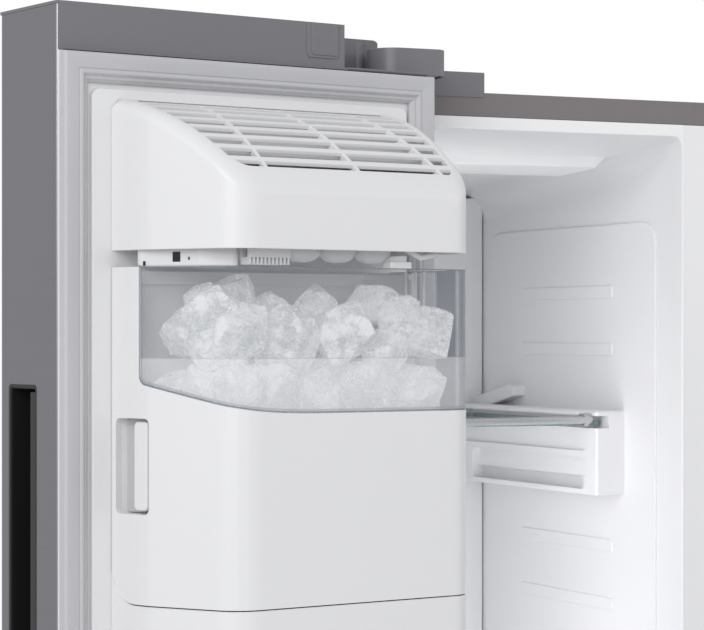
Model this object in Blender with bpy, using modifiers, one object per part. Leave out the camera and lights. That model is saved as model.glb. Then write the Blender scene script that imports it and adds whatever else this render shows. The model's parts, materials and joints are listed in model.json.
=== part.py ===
"""Side by side refrigerator with both doors open. The freezer is on the left, with an ice maker in its door.

All sizes below are in millimetres, and the helper functions turn them into metres. X runs to the right, Y to
the back and Z up. Inside the cabinet, X is 0 on its middle plane, Y is 0 on its front and Z is 0 on the
floor. Inside a door, u runs from its free edge to its hinge side, and p from its inner frame into the
compartment.
"""

import math

import bmesh
import bpy
from mathutils import Matrix, Vector

MM = 0.001

# Driving dimensions
CABINET_WIDTH = 912.0
CASE_TOP = 1737.0
CASE_BOTTOM = 50.0
CASE_DEPTH = 610.0
SHEET = 1.2
DOOR_TOP = 1780.0
DOOR_BOTTOM = 60.0
DOOR_THICKNESS = 104.0
GASKET_SPACE = 12.0
FREEZER_DOOR_WIDTH = 400.0
DOOR_GAP = 4.0
OPEN_ANGLE = 168.9
PIVOT_FROM_SIDE = 12.0
PIVOT_FROM_FRAME = 50.0
PIN_RADIUS = 6.0
PIN_HOLE_RADIUS = 7.0
FIT = 0.3

# Compartments
LINER_WALL = 2.0
MULLION_LEFT = -78.0
MULLION_RIGHT = -22.0
SIDE_WALL = 42.0
MOUTH_TOP = 1700.0
MOUTH_BOTTOM = 120.0
STRIP_BOTTOM = 1713.0
FRONT_BOTTOM = 52.0
LINER_BACK = 530.0
STEP_DEPTH = 400.0
STEP_TOP = 262.0
CEILING_BREAK = (90.0, 1684.0)
CEILING_BACK = 1660.0
MACHINE_ROOM_FRONT = 428.0
MACHINE_ROOM_TOP = 232.0

# Freezer door fittings
HOUSING_LEFT = 50.5
HOUSING_RIGHT = 351.0
HOUSING_BACK = 5.0
HOUSING_FRONT = 131.0
HOUSING_BEND = (61.0, 50.0)
HOUSING_TURN = (99.9, HOUSING_FRONT)
HOUSING_TURN_RADIUS = 34.0
HOUSING_CORNER_RADIUS = 22.0
HOUSING_BOTTOM = 640.0
RIDGE_P = 4.5
RIDGE_TOP = 1707.0
DYKE_P = 25.0
BUCKET_BOTTOM = 1264.0
WINDOW_BOTTOM = 1436.0
BUCKET_TOP = 1550.0
COVER_BOTTOM = 1567.0
COVER_TOP = 1698.0
COVER_FALL = 74.4
COVER_CURVE = 1.85
HANDLE_TOP = 1451.0
HANDLE_BOTTOM = 700.0
HANDLE_P = (-87.0, -37.0)
HANDLE_DEPTH = 36.0
NICHE_U = (110.0, 290.0)
NICHE_Z = (860.0, 1190.0)
NICHE_DEPTH = 70.0

HALF = CABINET_WIDTH / 2
FRAME_Y = -GASKET_SPACE
PIVOT_Y = FRAME_Y - PIVOT_FROM_FRAME
FRIDGE_DOOR_WIDTH = CABINET_WIDTH - FREEZER_DOOR_WIDTH - DOOR_GAP
LINER_TOP = CASE_TOP + 0.7
CAP_BOTTOM = CASE_TOP + 1.6
CAP_RIM = 3.0
SKIN_TOP = DOOR_TOP - CAP_RIM
HINGE_ROOM = 100.0
HINGE_ROOM_P = -84.0
GASKET_WIDTH = 26.0
BIN_FRONT = 98.0
LEFT, RIGHT = -1, 1

COLOURS = {
    "steel": ((0.18, 0.18, 0.20), 0.35, 1.0),
    "cap_plastic": ((0.17, 0.17, 0.19), 0.55, 0.0),
    "strip": ((0.19, 0.18, 0.18), 0.6, 0.0),
    "case_paint": ((0.20, 0.20, 0.21), 0.5, 0.2),
    "white_plastic": ((0.80, 0.80, 0.81), 0.35, 0.0),
    "foamed_door": ((0.80, 0.80, 0.81), 0.35, 0.0),
    "liner_white": ((0.72, 0.72, 0.74), 0.3, 0.0),
    "mullion_gray": ((0.76, 0.76, 0.78), 0.4, 0.0),
    "gasket_rubber": ((0.50, 0.50, 0.53), 0.6, 0.0),
    "black_plastic": ((0.01, 0.01, 0.01), 0.4, 0.0),
    "clear_plastic": ((0.75, 0.77, 0.80), 0.1, 0.0),
    "shelf_glass": ((0.70, 0.76, 0.76), 0.05, 0.0),
    "bright_metal": ((0.62, 0.62, 0.64), 0.2, 1.0),
    "foam": ((0.80, 0.72, 0.45), 0.9, 0.0),
    "zinc_steel": ((0.45, 0.45, 0.46), 0.4, 1.0),
    "copper_tube": ((0.55, 0.30, 0.18), 0.35, 1.0),
    "pump_black": ((0.02, 0.02, 0.02), 0.45, 0.3),
    "rubber": ((0.03, 0.03, 0.03), 0.8, 0.0),
}


# Scene and materials


def clear_scene():
    for obj in list(bpy.data.objects):
        bpy.data.objects.remove(obj, do_unlink=True)


def new_collection(name):
    collection = bpy.data.collections.new(name)
    bpy.context.scene.collection.children.link(collection)
    return collection


def make_material(name):
    colour, roughness, metallic = COLOURS[name]
    material = bpy.data.materials.new(name)
    material.use_nodes = True
    shader = material.node_tree.nodes["Principled BSDF"]
    shader.inputs["Base Color"].default_value = (*colour, 1.0)
    shader.inputs["Roughness"].default_value = roughness
    shader.inputs["Metallic"].default_value = metallic
    return material


def empty(name, place, parent=None, turn=0.0):
    obj = bpy.data.objects.new(name, None)
    obj.parent = parent
    obj.location = Vector(place) * MM
    obj.rotation_euler = (0, 0, math.radians(turn))
    obj.empty_display_size = 0.05
    PARTS.objects.link(obj)
    return obj


def place(mesh, name, location, material, parent):
    """Puts a mesh in the scene: with a material it is a piece, without one it is a cutter or a tool."""
    obj = bpy.data.objects.new(name, mesh)
    obj.parent = parent
    obj.location = Vector(location) * MM
    if material is None:
        TOOLS.objects.link(obj)
        obj.hide_render = True
        obj.display_type = "WIRE"
    else:
        PARTS.objects.link(obj)
        mesh.materials.append(MATERIALS[material])
    return obj


# Shapes


def blocks(name, boxes, material=None, parent=None, bevel=0.0, segments=2):
    """One mesh of boxes, each given by its lowest and its highest corner. Its origin is in the first one."""
    home = (Vector(boxes[0][0]) + Vector(boxes[0][1])) / 2
    bm = bmesh.new()
    for low, high in boxes:
        low, high = Vector(low), Vector(high)
        size = Matrix.Diagonal((high - low) * MM).to_4x4()
        centre = Matrix.Translation(((low + high) / 2 - home) * MM)
        bmesh.ops.create_cube(bm, size=1.0, matrix=centre @ size)
    mesh = bpy.data.meshes.new(name)
    bm.to_mesh(mesh)
    bm.free()
    obj = place(mesh, name, home, material, parent)
    if bevel:
        round_edges(obj, bevel, segments)
    return obj


def round_edges(obj, width, segments=2, angle=40):
    modifier = obj.modifiers.new("round", "BEVEL")
    modifier.width = width * MM
    modifier.segments = segments
    modifier.limit_method = "ANGLE"
    modifier.angle_limit = math.radians(angle)


def prism(name, outline, low, high, axis="Z", material=None, parent=None):
    """A flat outline pushed along an axis. Across Z the outline is (x, y), and across X it is (y, z)."""
    curve = bpy.data.curves.new(name, "CURVE")
    curve.dimensions = "2D"
    curve.fill_mode = "BOTH"
    curve.extrude = (high - low) / 2 * MM
    spline = curve.splines.new("POLY")
    spline.points.add(len(outline) - 1)
    spline.use_cyclic_u = True
    for point, (a, b) in zip(spline.points, outline):
        point.co = (a * MM, b * MM, 0, 1)
    obj = bpy.data.objects.new(name, curve)
    bpy.context.scene.collection.objects.link(obj)
    mesh = meshed(obj)
    middle = (low + high) / 2
    if axis == "X":
        mesh.transform(Matrix(((0, 0, 1, 0), (1, 0, 0, 0), (0, 1, 0, 0), (0, 0, 0, 1))))
    location = (middle, 0, 0) if axis == "X" else (0, 0, middle)
    return place(mesh, name, location, material, parent)


def meshed(obj):
    """The welded mesh of a curve or of an object with modifiers, which is then removed."""
    bpy.context.view_layer.update()
    graph = bpy.context.evaluated_depsgraph_get()
    mesh = bpy.data.meshes.new_from_object(obj.evaluated_get(graph))
    bpy.data.objects.remove(obj, do_unlink=True)
    bm = bmesh.new()
    bm.from_mesh(mesh)
    bmesh.ops.remove_doubles(bm, verts=bm.verts, dist=0.00001)
    bmesh.ops.recalc_face_normals(bm, faces=bm.faces)
    bm.to_mesh(mesh)
    bm.free()
    return mesh


def turned(name, profile, place_at, axis="Z", steps=24, material=None, parent=None):
    """A profile of (radius, height) points, listed from top to bottom, turned round an axis."""
    mesh = bpy.data.meshes.new(name)
    points = [(radius * MM, 0, height * MM) for radius, height in profile]
    mesh.from_pydata(points, [(i, i + 1) for i in range(len(points) - 1)], [])
    obj = bpy.data.objects.new(name, mesh)
    bpy.context.scene.collection.objects.link(obj)
    screw = obj.modifiers.new("turn", "SCREW")
    screw.steps = steps
    screw.render_steps = steps
    screw.use_merge_vertices = True
    screw.merge_threshold = 0.00001
    mesh = meshed(obj)
    if axis == "X":
        mesh.transform(Matrix.Rotation(math.radians(90), 4, "Y"))
    elif axis == "Y":
        mesh.transform(Matrix.Rotation(math.radians(-90), 4, "X"))
    shade_round(mesh)
    return place(mesh, name, place_at, material, parent)


def cylinder(name, radius, low, high, place_at, axis="Z", steps=24, material=None, parent=None):
    profile = [(0, high), (radius, high), (radius, low), (0, low)]
    return turned(name, profile, place_at, axis, steps, material, parent)


def shade_round(mesh):
    mesh.shade_smooth()
    mesh.set_sharp_from_angle(angle=math.radians(35))


def tube(name, points, radius, material=None, parent=None):
    curve = bpy.data.curves.new(name, "CURVE")
    curve.dimensions = "3D"
    curve.bevel_depth = radius * MM
    curve.bevel_resolution = 1
    curve.use_fill_caps = True
    spline = curve.splines.new("POLY")
    spline.points.add(len(points) - 1)
    for point, where in zip(spline.points, points):
        point.co = (*(Vector(where) * MM), 1)
    obj = bpy.data.objects.new(name, curve)
    bpy.context.scene.collection.objects.link(obj)
    mesh = meshed(obj)
    shade_round(mesh)
    return place(mesh, name, (0, 0, 0), material, parent)


def cut(obj, *cutters):
    for cutter in cutters:
        boolean(obj, cutter, "DIFFERENCE")


def join(obj, *tools):
    for tool in tools:
        boolean(obj, tool, "UNION")


def boolean(obj, other, operation):
    modifier = obj.modifiers.new(other.name, "BOOLEAN")
    modifier.operation = operation
    modifier.solver = "EXACT"
    modifier.object = other


def grown(outline, distance):
    """The outline of a polygon moved outwards by a distance, with its corners kept sharp."""
    count = len(outline)
    area = sum(
        outline[i][0] * outline[(i + 1) % count][1] - outline[(i + 1) % count][0] * outline[i][1]
        for i in range(count)
    )
    way = 1 if area > 0 else -1
    result = []
    for i, corner in enumerate(outline):
        before = (Vector(corner) - Vector(outline[i - 1])).normalized()
        after = (Vector(outline[(i + 1) % count]) - Vector(corner)).normalized()
        out_before = Vector((before.y, -before.x)) * way
        out_after = Vector((after.y, -after.x)) * way
        both = out_before + out_after
        result.append(tuple(Vector(corner) + both * (2 * distance / both.length_squared)))
    return result


def arc(centre, radius, start, end, count):
    """Points along a circular arc, with both of its ends. Angles are in degrees."""
    angles = [math.radians(start + (end - start) * i / (count - 1)) for i in range(count)]
    return [(centre[0] + radius * math.cos(a), centre[1] + radius * math.sin(a)) for a in angles]


def rounded(outline, radii, steps=5):
    """The outline with an arc at each corner that is given a radius in radii, by the corner's index."""
    count = len(outline)
    result = []
    for i, point in enumerate(outline):
        if i not in radii:
            result.append(tuple(point))
            continue
        corner = Vector(point)
        before = (Vector(outline[i - 1]) - corner).normalized()
        after = (Vector(outline[(i + 1) % count]) - corner).normalized()
        half = before.angle(after) / 2
        centre = corner + (before + after).normalized() * (radii[i] / math.sin(half))
        start = before * (radii[i] / math.tan(half)) + corner - centre
        end = after * (radii[i] / math.tan(half)) + corner - centre
        for step in range(steps):
            way = start.lerp(end, step / (steps - 1)).normalized()
            result.append(tuple(centre + way * radii[i]))
    return result


# Cabinet


def compartment_outline():
    """The compartment's side view: its mouth, sloped ceiling, back and the step over the machine room."""
    return [
        (0, MOUTH_BOTTOM),
        (STEP_DEPTH, MOUTH_BOTTOM),
        (STEP_DEPTH, STEP_TOP),
        (LINER_BACK, STEP_TOP),
        (LINER_BACK, CEILING_BACK),
        CEILING_BREAK,
        (0, MOUTH_TOP),
    ]


def reaching_forward(outline, distance):
    """The outline with its straight mouth carried on towards the front."""
    return [(-distance, MOUTH_BOTTOM), *outline, (-distance, MOUTH_TOP)]


def make_case(cabinet):
    top_rail_depth = 30.0
    outside = ((-HALF, 0, CASE_BOTTOM), (HALF, CASE_DEPTH, CASE_TOP))
    case = blocks("outer_case", [outside], "case_paint", cabinet)
    inside = ((-HALF + SHEET, -10, CASE_BOTTOM - 10), (HALF - SHEET, CASE_DEPTH + 10, CASE_TOP - SHEET))
    notch = ((-HALF - 10, -10, STRIP_BOTTOM - FIT), (HALF + 10, top_rail_depth + FIT, CASE_TOP + 10))
    cut(case, blocks("case_inside", [inside], parent=cabinet), blocks("case_notch", [notch], parent=cabinet))

    wall = 3.0
    under_top = CASE_TOP - wall
    rail = [(0, STRIP_BOTTOM), (wall, STRIP_BOTTOM), (wall, under_top), (top_rail_depth, under_top)]
    rail += [(top_rail_depth, CASE_TOP), (2, CASE_TOP), (0, CASE_TOP - 2)]
    prism("top_rail", rail, -HALF, HALF, "X", "strip", cabinet)

    rear = ((-HALF + SHEET + FIT, CASE_DEPTH - 1.5, MACHINE_ROOM_TOP), (HALF - SHEET - FIT, CASE_DEPTH, 1735))
    blocks("rear_panel", [rear], "zinc_steel", cabinet)
    clear = LINER_WALL + FIT
    strip = ((MULLION_LEFT + clear, 0, FRONT_BOTTOM), (MULLION_RIGHT - clear, 2, STRIP_BOTTOM - FIT))
    blocks("mullion_cover", [strip], "mullion_gray", cabinet)


def make_insulation(cabinet):
    front, back, top = 3.6, 608.0, 1733.5
    outline = [(front, FRONT_BOTTOM), (MACHINE_ROOM_FRONT, FRONT_BOTTOM)]
    outline.append((MACHINE_ROOM_FRONT, MACHINE_ROOM_TOP))
    outline += [(back, MACHINE_ROOM_TOP), (back, top), (front, top)]
    side = HALF - SHEET - FIT
    foam = prism("cabinet_insulation", outline, -side, side, "X", "foam", cabinet)
    clear = LINER_WALL + FIT
    hollow = grown(reaching_forward(compartment_outline(), 20), clear)
    for name, low, high in compartment_spans():
        cut(foam, prism(name + "_space", hollow, low - clear, high + clear, "X", parent=cabinet))


def compartment_spans():
    return (
        ("freezer", -HALF + SIDE_WALL, MULLION_LEFT),
        ("fridge", MULLION_RIGHT, HALF - SIDE_WALL),
    )


def make_liner(cabinet, kind, low, high, supports, pockets=()):
    """A moulded compartment liner with its front flange, and the rails that hold its shelves and drawers."""
    inner = compartment_outline()
    mouth = reaching_forward(inner, 20)
    outer = [(max(y, 0), z) for y, z in grown(mouth, LINER_WALL)]
    liner = prism(kind + "_liner", outer, low - LINER_WALL, high + LINER_WALL, "X", "liner_white", cabinet)
    edge = HALF - SHEET - FIT
    span = (-edge, high + LINER_WALL) if kind == "freezer" else (low - LINER_WALL, edge)
    flange = ((span[0], 0, FRONT_BOTTOM), (span[1], LINER_WALL, STRIP_BOTTOM - FIT))
    join(liner, blocks(kind + "_flange", [flange], parent=cabinet))
    cut(liner, prism(kind + "_inside", mouth, low, high, "X", parent=cabinet))
    join(liner, blocks(kind + "_rails", supports, parent=cabinet))
    if pockets:
        cut(liner, blocks(kind + "_grooves", list(pockets), parent=cabinet))


def both_walls(low, high, reach, y_span, z_span):
    """The two boxes that stand out from a compartment's side walls, and that run a little into them."""
    into = LINER_WALL / 2
    left = ((low - into, y_span[0], z_span[0]), (low + reach, y_span[1], z_span[1]))
    right = ((high - reach, y_span[0], z_span[0]), (high + into, y_span[1], z_span[1]))
    return [left, right]


FREEZER_DRAWERS = (("freezer_drawer_lower", 285.0, 520.0), ("freezer_drawer_upper", 560.0, 795.0))
CRISPER_DRAWERS = (("crisper_drawer_lower", 285.0, 520.0), ("crisper_drawer_upper", 560.0, 795.0))
DRAWER_FRONT_Y = 126.0
RAIL_FRONT = 134.0
RAIL_REACH = 16.0
DRAWER_BACK_Y = 440.0
BRACKET_Z = (1320.0, 1412.0)
BRACKET_REACH = 37.0
GROOVE_Z = (1393.0, 1405.0)
FREEZER_SHELF_Z = (1396.0, 1401.0)
ROD_HEIGHT = 1402.0
ROD_RADIUS = 4.25
ROD_Y = 124.0
FRIDGE_SHELVES = (("fridge_shelf_upper", 1340.0), ("fridge_shelf_lower", 900.0))


def make_liners(cabinet):
    (_, low, high), (_, fridge_low, fridge_high) = compartment_spans()
    left_bracket, _ = both_walls(low, high, BRACKET_REACH, (124, 446), BRACKET_Z)
    _, right_bracket = both_walls(low, high, BRACKET_REACH, (114, 446), BRACKET_Z)
    supports = [left_bracket, right_bracket]
    grooves = []
    for wall, way in ((low, 1), (high, -1)):
        face = wall + way * (BRACKET_REACH + 1)
        deep = wall + way * (BRACKET_REACH - 16)
        grooves.append(((min(face, deep), 110, GROOVE_Z[0]), (max(face, deep), 440, GROOVE_Z[1])))
    for _, _, top in FREEZER_DRAWERS:
        supports += both_walls(low, high, RAIL_REACH, (RAIL_FRONT, 430), (top - 22, top - 8.5))
    make_liner(cabinet, "freezer", low, high, supports, grooves)
    supports = []
    for _, _, top in CRISPER_DRAWERS:
        supports += both_walls(fridge_low, fridge_high, RAIL_REACH, (RAIL_FRONT, 430), (top - 22, top - 8.5))
    for _, height in FRIDGE_SHELVES:
        supports += both_walls(fridge_low, fridge_high, 14, (RAIL_FRONT, 470), (height - 14, height - 0.5))
    make_liner(cabinet, "fridge", fridge_low, fridge_high, supports)


def make_drawer(cabinet, name, low, high, bottom, top, material):
    """A drawer tub with a rim that rides on the liner's rails, and a thicker front."""
    wall, rim, clear = 3.0, 9.0, 5.0
    face, back = DRAWER_FRONT_Y, DRAWER_BACK_Y
    left, right = low + 18, high - 18
    tub = blocks(name, [((left, face + 4, bottom), (right, back, top))], material, cabinet)
    added = {
        "rim": ((left - rim, face + 4, top - 8), (right + rim, back, top - 4)),
        "front": ((low + clear, face, bottom - 4), (high - clear, face + 6, top + 4)),
    }
    removed = {
        "inside": ((left + wall, face + 9, bottom + wall), (right - wall, back - wall, top + 20)),
        "grip": ((low + 90, face - 1, top - 24), (high - 90, face + 2.5, top - 9)),
    }
    join(tub, *[blocks(f"{name}_{key}", [span], parent=cabinet) for key, span in added.items()])
    cut(tub, *[blocks(f"{name}_{key}", [span], parent=cabinet) for key, span in removed.items()])


def make_storage(cabinet):
    (_, low, high), (_, fridge_low, fridge_high) = compartment_spans()
    for name, bottom, top in FREEZER_DRAWERS:
        make_drawer(cabinet, name, low, high, bottom, top, "white_plastic")
    for name, bottom, top in CRISPER_DRAWERS:
        make_drawer(cabinet, name, fridge_low, fridge_high, bottom, top, "clear_plastic")
    glass_front = ROD_Y + ROD_RADIUS + FIT
    inset = BRACKET_REACH - 14
    glass = ((low + inset, glass_front, FREEZER_SHELF_Z[0]), (high - inset, 436, FREEZER_SHELF_Z[1]))
    blocks("freezer_shelf", [glass], "shelf_glass", cabinet)
    half = (high - low) / 2 - BRACKET_REACH - 0.5
    rod_at = ((low + high) / 2, ROD_Y, ROD_HEIGHT)
    cylinder("freezer_shelf_rod", ROD_RADIUS, -half, half, rod_at, "X", 16, "bright_metal", cabinet)
    for name, height in FRIDGE_SHELVES:
        plate = ((fridge_low + 3, 130, height), (fridge_high - 3, 484, height + 5))
        shelf = blocks(name, [plate], "shelf_glass", cabinet)
        lip = ((fridge_low + 3, 124, height - 6), (fridge_high - 3, 131, height + 10))
        join(shelf, blocks(name + "_lip", [lip], parent=cabinet))


def ceiling_at(y):
    (y1, z1), (y2, z2) = CEILING_BREAK, (LINER_BACK, CEILING_BACK)
    return z1 + (z2 - z1) * (y - y1) / (y2 - y1)


def make_lights(cabinet):
    front, back, drop, slope = 108.0, 184.0, 8.0, 4.0
    outline = [(front, ceiling_at(front) - 0.5), (back, ceiling_at(back) - 0.5)]
    outline += [(back - slope, ceiling_at(back) - drop), (front + slope, ceiling_at(front) - drop)]
    for kind, low, high in compartment_spans():
        prism(kind + "_light", outline, low + 40, high - 30, "X", "clear_plastic", cabinet)


# Cooling and machine room


def serpentine(start, step, width, passes, bend_points=5):
    """Points of a tube that runs to and fro along X between bends, rising by one step in Z at each bend."""
    x, y, z = start
    points = []
    for i in range(passes):
        height = z + i * step
        near, far = (x, x + width) if i % 2 == 0 else (x + width, x)
        points += [(near, y, height), (far, y, height)]
        if i < passes - 1:
            way = 1 if far > near else -1
            for a, b in arc((0, 0), step / 2, -90, 90, bend_points)[1:-1]:
                points.append((far + way * a, y, height + step / 2 + b))
    return points


def make_fan(name, place_at, axis, radius, blades, cabinet):
    """A hub with tilted blades, turning on its own origin."""
    hub = radius * 0.3
    width = radius * 0.22
    fan = cylinder(name, hub, -9, 9, place_at, axis, 20, "black_plastic", cabinet)
    bm = bmesh.new()
    for i in range(blades):
        size = Matrix.Diagonal((radius - hub + 4, width * 2, 2.0)).to_4x4()
        out = Matrix.Translation(((radius + hub - 4) / 2, 0, 0))
        tilt = Matrix.Rotation(math.radians(30), 4, "X")
        turn = Matrix.Rotation(2 * math.pi * i / blades, 4, "Z")
        bmesh.ops.create_cube(bm, size=1.0, matrix=Matrix.Scale(MM, 4) @ turn @ out @ tilt @ size)
    mesh = bpy.data.meshes.new(name + "_blades")
    bm.to_mesh(mesh)
    bm.free()
    if axis == "X":
        mesh.transform(Matrix.Rotation(math.radians(90), 4, "Y"))
    else:
        mesh.transform(Matrix.Rotation(math.radians(-90), 4, "X"))
    join(fan, place(mesh, name + "_blades", place_at, None, cabinet))


def slots(count, first, step, axis, size):
    """Boxes of one size in a row, from the first one's centre."""
    half = Vector(size) / 2
    result = []
    for i in range(count):
        centre = Vector(first)
        centre[axis] += i * step
        result.append((tuple(centre - half), tuple(centre + half)))
    return result


COVER_Y = (450.0, 454.0)


def make_cooling(cabinet):
    (_, low, high), (_, fridge_low, fridge_high) = compartment_spans()
    middle = (low + high) / 2
    panel = ((low + 2, COVER_Y[0], STEP_TOP + 3), (high - 2, COVER_Y[1], 1658))
    cover = blocks("evaporator_cover", [panel], "liner_white", cabinet)
    grille = []
    for height in (860, 1180, 1560):
        grille += slots(5, (middle, COVER_Y[0], height), 14, 2, (170, 30, 6))
    cut(cover, blocks("evaporator_cover_slots", grille, parent=cabinet))
    tube("evaporator", serpentine((low + 40, 490, 560), 26, high - low - 80, 10), 5, "zinc_steel", cabinet)
    make_fan("evaporator_fan", (middle, 492, 1400), "Y", 60, 5, cabinet)

    centre = (fridge_low + fridge_high) / 2
    tower = ((centre - 60, 500, 930), (centre + 60, LINER_BACK - FIT, 1640))
    duct = blocks("fridge_air_duct", [tower], "liner_white", cabinet)
    hollow = ((centre - 57, 503, 933), (centre + 57, LINER_BACK + 5, 1637))
    vents = []
    for height in (1040, 1240, 1500):
        vents += slots(3, (centre, 500, height), 14, 2, (80, 12, 6))
    cut(duct, blocks("duct_hollow", [hollow], parent=cabinet), blocks("duct_vents", vents, parent=cabinet))


ROLLER_X = 400.0
ROLLER_Y = 565.0
ROLLER_RADIUS = 20.0
FOOT_X = 410.0
FOOT_Y = 48.0


def make_base(cabinet):
    side = HALF - SHEET - FIT
    plate = ((-side, 4, CASE_BOTTOM), (side, 606, CASE_BOTTOM + 1.5))
    base = blocks("base_frame", [plate], "zinc_steel", cabinet)
    cheeks, aprons = [], []
    for way in (LEFT, RIGHT):
        for offset in (-14, 14):
            x = way * ROLLER_X + offset
            cheeks.append(((x - 1.5, ROLLER_Y - 16, 14), (x + 1.5, ROLLER_Y + 16, CASE_BOTTOM + 1)))
        edge = sorted((way * (side - 2), way * 370))
        aprons.append(((edge[0], 6, 20), (edge[1], 8, CASE_BOTTOM + 0.8)))
    join(base, blocks("roller_cheeks", cheeks, parent=cabinet))
    join(base, blocks("front_aprons", aprons, parent=cabinet))
    for way in (LEFT, RIGHT):
        side_name = "left" if way == LEFT else "right"
        axle_at = (way * ROLLER_X, ROLLER_Y, ROLLER_RADIUS)
        join(base, cylinder("axle_" + side_name, 4.0, -14, 14, axle_at, "X", 16, parent=cabinet))
        foot_at = (way * FOOT_X, FOOT_Y, 0)
        boss_top = CASE_BOTTOM + 1
        join(base, cylinder("foot_boss_" + side_name, 11, 26, boss_top, foot_at, "Z", 20, parent=cabinet))
        cut(base, cylinder("foot_thread_" + side_name, 5.6, 20, 60, foot_at, "Z", 20, parent=cabinet))
        make_roller("rear_roller_" + side_name, axle_at, cabinet)
        foot = [(0, 48), (5, 48), (5, 12), (14, 10), (18, 4), (18, 0), (0, 0)]
        turned("front_foot_" + side_name, foot, foot_at, "Z", 24, "black_plastic", cabinet)

    kick = ((-HALF + 6, 10, 16), (HALF - 6, 13, CASE_BOTTOM - FIT))
    kick_plate = blocks("kick_plate", [kick], "cap_plastic", cabinet)
    vents = slots(12, (-330, 11, 33), 60, 0, (44, 10, 16))
    cut(kick_plate, blocks("kick_plate_vents", vents, parent=cabinet))


def make_roller(name, place_at, cabinet):
    bore, width = 4.5, 9.0
    profile = [(bore, width), (ROLLER_RADIUS - 2, width), (ROLLER_RADIUS, width - 2)]
    profile += [(ROLLER_RADIUS, 2 - width), (ROLLER_RADIUS - 2, -width), (bore, -width), (bore, width)]
    turned(name, profile, place_at, "X", 32, "rubber", cabinet)


def make_machine_room(cabinet):
    floor = CASE_BOTTOM + 1.5 + FIT
    can = [(0, 152), (40, 148), (66, 132), (76, 106), (78, 66), (76, 30), (64, 12), (40, 6), (0, 4)]
    pump = turned("compressor", can, (300, 515, floor), "Z", 24, "pump_black", cabinet)
    join(pump, blocks("compressor_seat", [((262, 477, floor + 1), (338, 553, floor + 16))], parent=cabinet))
    join(pump, blocks("compressor_plate", [((200, 440, floor), (400, 590, floor + 3))], parent=cabinet))
    tube("condenser", serpentine((-410, 520, 76), 20, 380, 7), 4, "copper_tube", cabinet)
    make_fan("condenser_fan", (60, 520, 140), "X", 66, 6, cabinet)

    panel = ((-HALF + 8, CASE_DEPTH - 1.5, 54), (HALF - 8, CASE_DEPTH, MACHINE_ROOM_TOP - FIT))
    cover = blocks("machine_cover", [panel], "zinc_steel", cabinet)
    vents = []
    for height in (100, 140, 180):
        vents += slots(8, (-350, CASE_DEPTH, height), 100, 0, (70, 10, 10))
    cut(cover, blocks("machine_cover_vents", vents, parent=cabinet))
    gland_at = (-410, CASE_DEPTH, 80)
    join(cover, cylinder("cord_gland", 9, -10, -0.5, gland_at, "Y", 20, parent=cabinet))
    cut(cover, cylinder("cord_gland_bore", 4, -15, 5, gland_at, "Y", 16, parent=cabinet))


# Hinges


def from_side(side, distance):
    """X of a point that lies this far in from the cabinet's left or right side."""
    return side * (HALF - distance)


def side_box(side, inward, y_span, z_span):
    xs = sorted(from_side(side, d) for d in inward)
    return ((xs[0], y_span[0], z_span[0]), (xs[1], y_span[1], z_span[1]))


def side_outline(side, points):
    return [(from_side(side, d), y) for d, y in points]


COVER_TOP_Z = 1767.0
COVER_STEP_Z = 1757.0
COVER_LIP_Z = 1732.0
COVER_SKIRT = 1741.5


def hinge_cover_outline(grow=0.0, rear=-4.0):
    """Plan of the cover over the hinge arm: round at the pin, and notched where the open door's cap comes."""
    nose = arc((PIVOT_FROM_SIDE + 4, PIVOT_Y), 26, 180, 250, 6)
    points = nose + [(57, -88), (61.5, -81), (64, -70), (64, rear), (24, rear), (21, -26)]
    points += arc((PIVOT_FROM_SIDE + 4, PIVOT_Y), 26, 120, 150, 3)
    return grown(points, grow)


def make_hinges(cabinet, kind, side):
    pin_at = (from_side(side, PIVOT_FROM_SIDE), PIVOT_Y, 0)
    arm_z = (1743.0, 1747.0)
    arm = side_outline(side, [(4, -72), (60, -72), (60, 30), (28, 30), (28, -34), (4, -52)])
    bracket = prism(kind + "_top_hinge", arm, arm_z[0], arm_z[1], "Z", "zinc_steel", cabinet)
    pad = side_box(side, (28, 120), (6, 50), (CASE_TOP + FIT, arm_z[1]))
    join(bracket, blocks(kind + "_hinge_pad", [pad], parent=cabinet))
    join(bracket, cylinder(kind + "_top_pin", PIN_RADIUS, 1714, 1744, pin_at, "Z", 16, parent=cabinet))

    outline = side_outline(side, hinge_cover_outline())
    cover = prism(kind + "_hinge_cover", outline, COVER_SKIRT, COVER_TOP_Z, "Z", "cap_plastic", cabinet)
    low_part = side_box(side, (22, 143), (-8, 60), (COVER_LIP_Z, COVER_STEP_Z))
    hollow = side_outline(side, hinge_cover_outline(-2, 12))
    low_hollow = side_box(side, (24.5, 141), (FIT - 3, 58), (CASE_TOP, COVER_STEP_Z - 2))
    under = side_box(side, (15, 150), (-FIT, 70), (COVER_LIP_Z - 5, CASE_TOP + FIT))
    join(cover, blocks(kind + "_cover_low", [low_part], parent=cabinet))
    cut(cover, prism(kind + "_cover_hollow", hollow, COVER_SKIRT - 5, COVER_TOP_Z - 2, "Z", parent=cabinet))
    cut(cover, blocks(kind + "_cover_low_hollow", [low_hollow], parent=cabinet))
    cut(cover, blocks(kind + "_cover_under", [under], parent=cabinet))

    plate = side_box(side, (2, 60), (-80, -FIT), (DOOR_BOTTOM - 6, DOOR_BOTTOM - 2))
    lower = blocks(kind + "_bottom_hinge", [plate], "zinc_steel", cabinet)
    back = side_box(side, (2, 60), (-3.3, -FIT), (22, DOOR_BOTTOM - 3))
    join(lower, blocks(kind + "_bottom_hinge_back", [back], parent=cabinet))
    low, high = DOOR_BOTTOM - 4, DOOR_BOTTOM + 18
    join(lower, cylinder(kind + "_bottom_pin", PIN_RADIUS, low, high, pin_at, "Z", 16, parent=cabinet))


# Doors


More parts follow.
